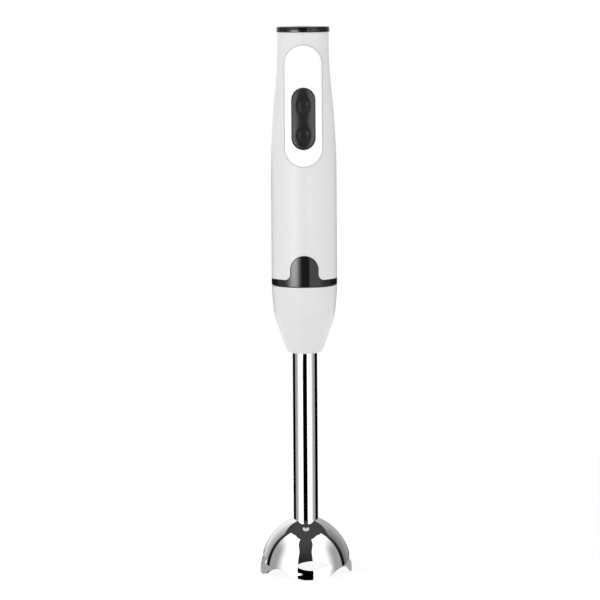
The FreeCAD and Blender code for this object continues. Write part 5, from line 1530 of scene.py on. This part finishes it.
def board_paint(tree, tone):
    cells = tree.nodes.new("ShaderNodeTexVoronoi")
    cells.feature = "DISTANCE_TO_EDGE"
    cells.inputs["Scale"].default_value = TRACK_SCALE
    tree.links.new(own_place(tree), cells.inputs["Vector"])
    return blend_colours(tree, ramp(tree, cells.outputs["Distance"], 0.06, 0.1, 1.0, 0.0), tone,
                         GREEN_TRACK)


def add_finish(slot, name, roughness, **values):
    finishes[slot] = finish(name, record_colour(slot), roughness, **values)


add_finish("dark_plastic", "dark_nylon", 0.5, grain=(0.25, 0.01), vary=0.15)
add_finish("grey_plastic", "grey_nylon", 0.48, grain=(0.3, 0.01), vary=0.08)
add_finish("natural_nylon", "natural_nylon", 0.42, grain=(0.4, 0.008), Subsurface_Weight=0.15,
           Subsurface_Scale=0.002)
add_finish("ground_steel", "ground_stainless", 0.22, marks=(0.12, 0.0012), smudge=0.1, vary=0.1,
           Metallic=1.0)
add_finish("zinc_steel", "zinc_screw_steel", 0.34, grain=(0.5, 0.004), smudge=0.12, vary=0.12,
           Metallic=1.0)
add_finish("core_steel", "stacked_laminations", 0.4, marks=(0.5, 0.04), vary=0.2, Metallic=1.0)
add_finish("sintered_bronze", "sintered_bronze", 0.38,
           specks=(0.3, 0.25, (0.2, 0.12, 0.06, 1), 0.02), Metallic=1.0)
add_finish("copper", "wound_copper", 0.3, marks=(0.45, 0.06), vary=0.2, Metallic=1.0,
           Coat_Weight=0.6)
add_finish("brass", "stamped_brass", 0.3, grain=(0.5, 0.004), vary=0.15, Metallic=1.0)
add_finish("ferrite", "ground_ferrite", 0.6, specks=(0.5, 0.2, (0.03, 0.03, 0.032, 1), 0.02))
add_finish("carbon", "pressed_graphite", 0.45, specks=(0.35, 0.22, (0.14, 0.14, 0.15, 1), 0.01))
add_finish("black_rubber", "moulded_rubber", 0.62, grain=(0.35, 0.012), vary=0.2, dust=0.04)
add_finish("seal_rubber", "silicone_rubber", 0.4, grain=(0.5, 0.006))
add_finish("board_green", "circuit_board_mask", 0.3, paint=board_paint)
add_finish("blue_sleeve", "shrink_sleeve", 0.25, marks=(1.6, 0.01), vary=0.08)
add_finish("lead_red", "wire_insulation", 0.35, grain=(0.6, 0.004))
finishes["fan"] = finish("fan_plastic", record_colour("dark_plastic"), 0.5, grain=(0.25, 0.01),
                         vary=0.15)
finishes["commutator"] = finish("turned_copper", record_colour("copper"), 0.26, marks=(0.1, 0.002),
                                vary=0.25, patch=400, Metallic=1.0)
print(len(finishes), "finishes")

# %% [markdown]
# ## Return springs
# Two small springs push the button's carrier level again. A stiff spring would run into the carrier
# as it rocks. Here a copy of the pair is made with its own mesh and takes the part's place; it does
# not shorten.

# %% Copy the springs
springs = nodes["button_springs"].copy()
springs.data = springs.data.copy()
springs.name = "button_springs_shown"
bpy.context.scene.collection.objects.link(springs)
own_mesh(springs)

# %% [markdown]
# ## Put it together
# Each new piece rides on the body of the part it stands for, takes that part's place, and takes
# the finish of that part's slot. The parts that keep their own shape get their finish by slot.

# %% Dress every piece
slot_of = {row["node"]: row["material_slot"] for row in frame["record"]["subparts"]}
body_of = {node: body for body, members in frame["record"]["behaviour"]["bodies"].items()
           for node in members}
own_finish = {"commutator": "commutator", "cooling_fan": "fan"}


def dress(item, node_name):
    item.data.materials.clear()
    item.data.materials.append(finishes[own_finish.get(node_name, slot_of[node_name])])


for node_name, item in nodes.items():
    dress(item, node_name)

made = [("right_shell", right_shell), ("left_shell", left_shell), ("base_ring", ring),
        ("top_cap", cap), ("cord_gland", gland), ("button_pad", button), ("leg_collar", collar),
        ("leg_tube", tube), ("blade_guard", bell), ("cooling_fan", fan),
        ("button_springs", springs)] + screw_sets
for node_name, item in made:
    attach(item, body_of[node_name])
    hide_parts(node_name)
    dress(item, node_name)
print(len(made), "pieces made,", len(nodes) - len(made), "parts kept")
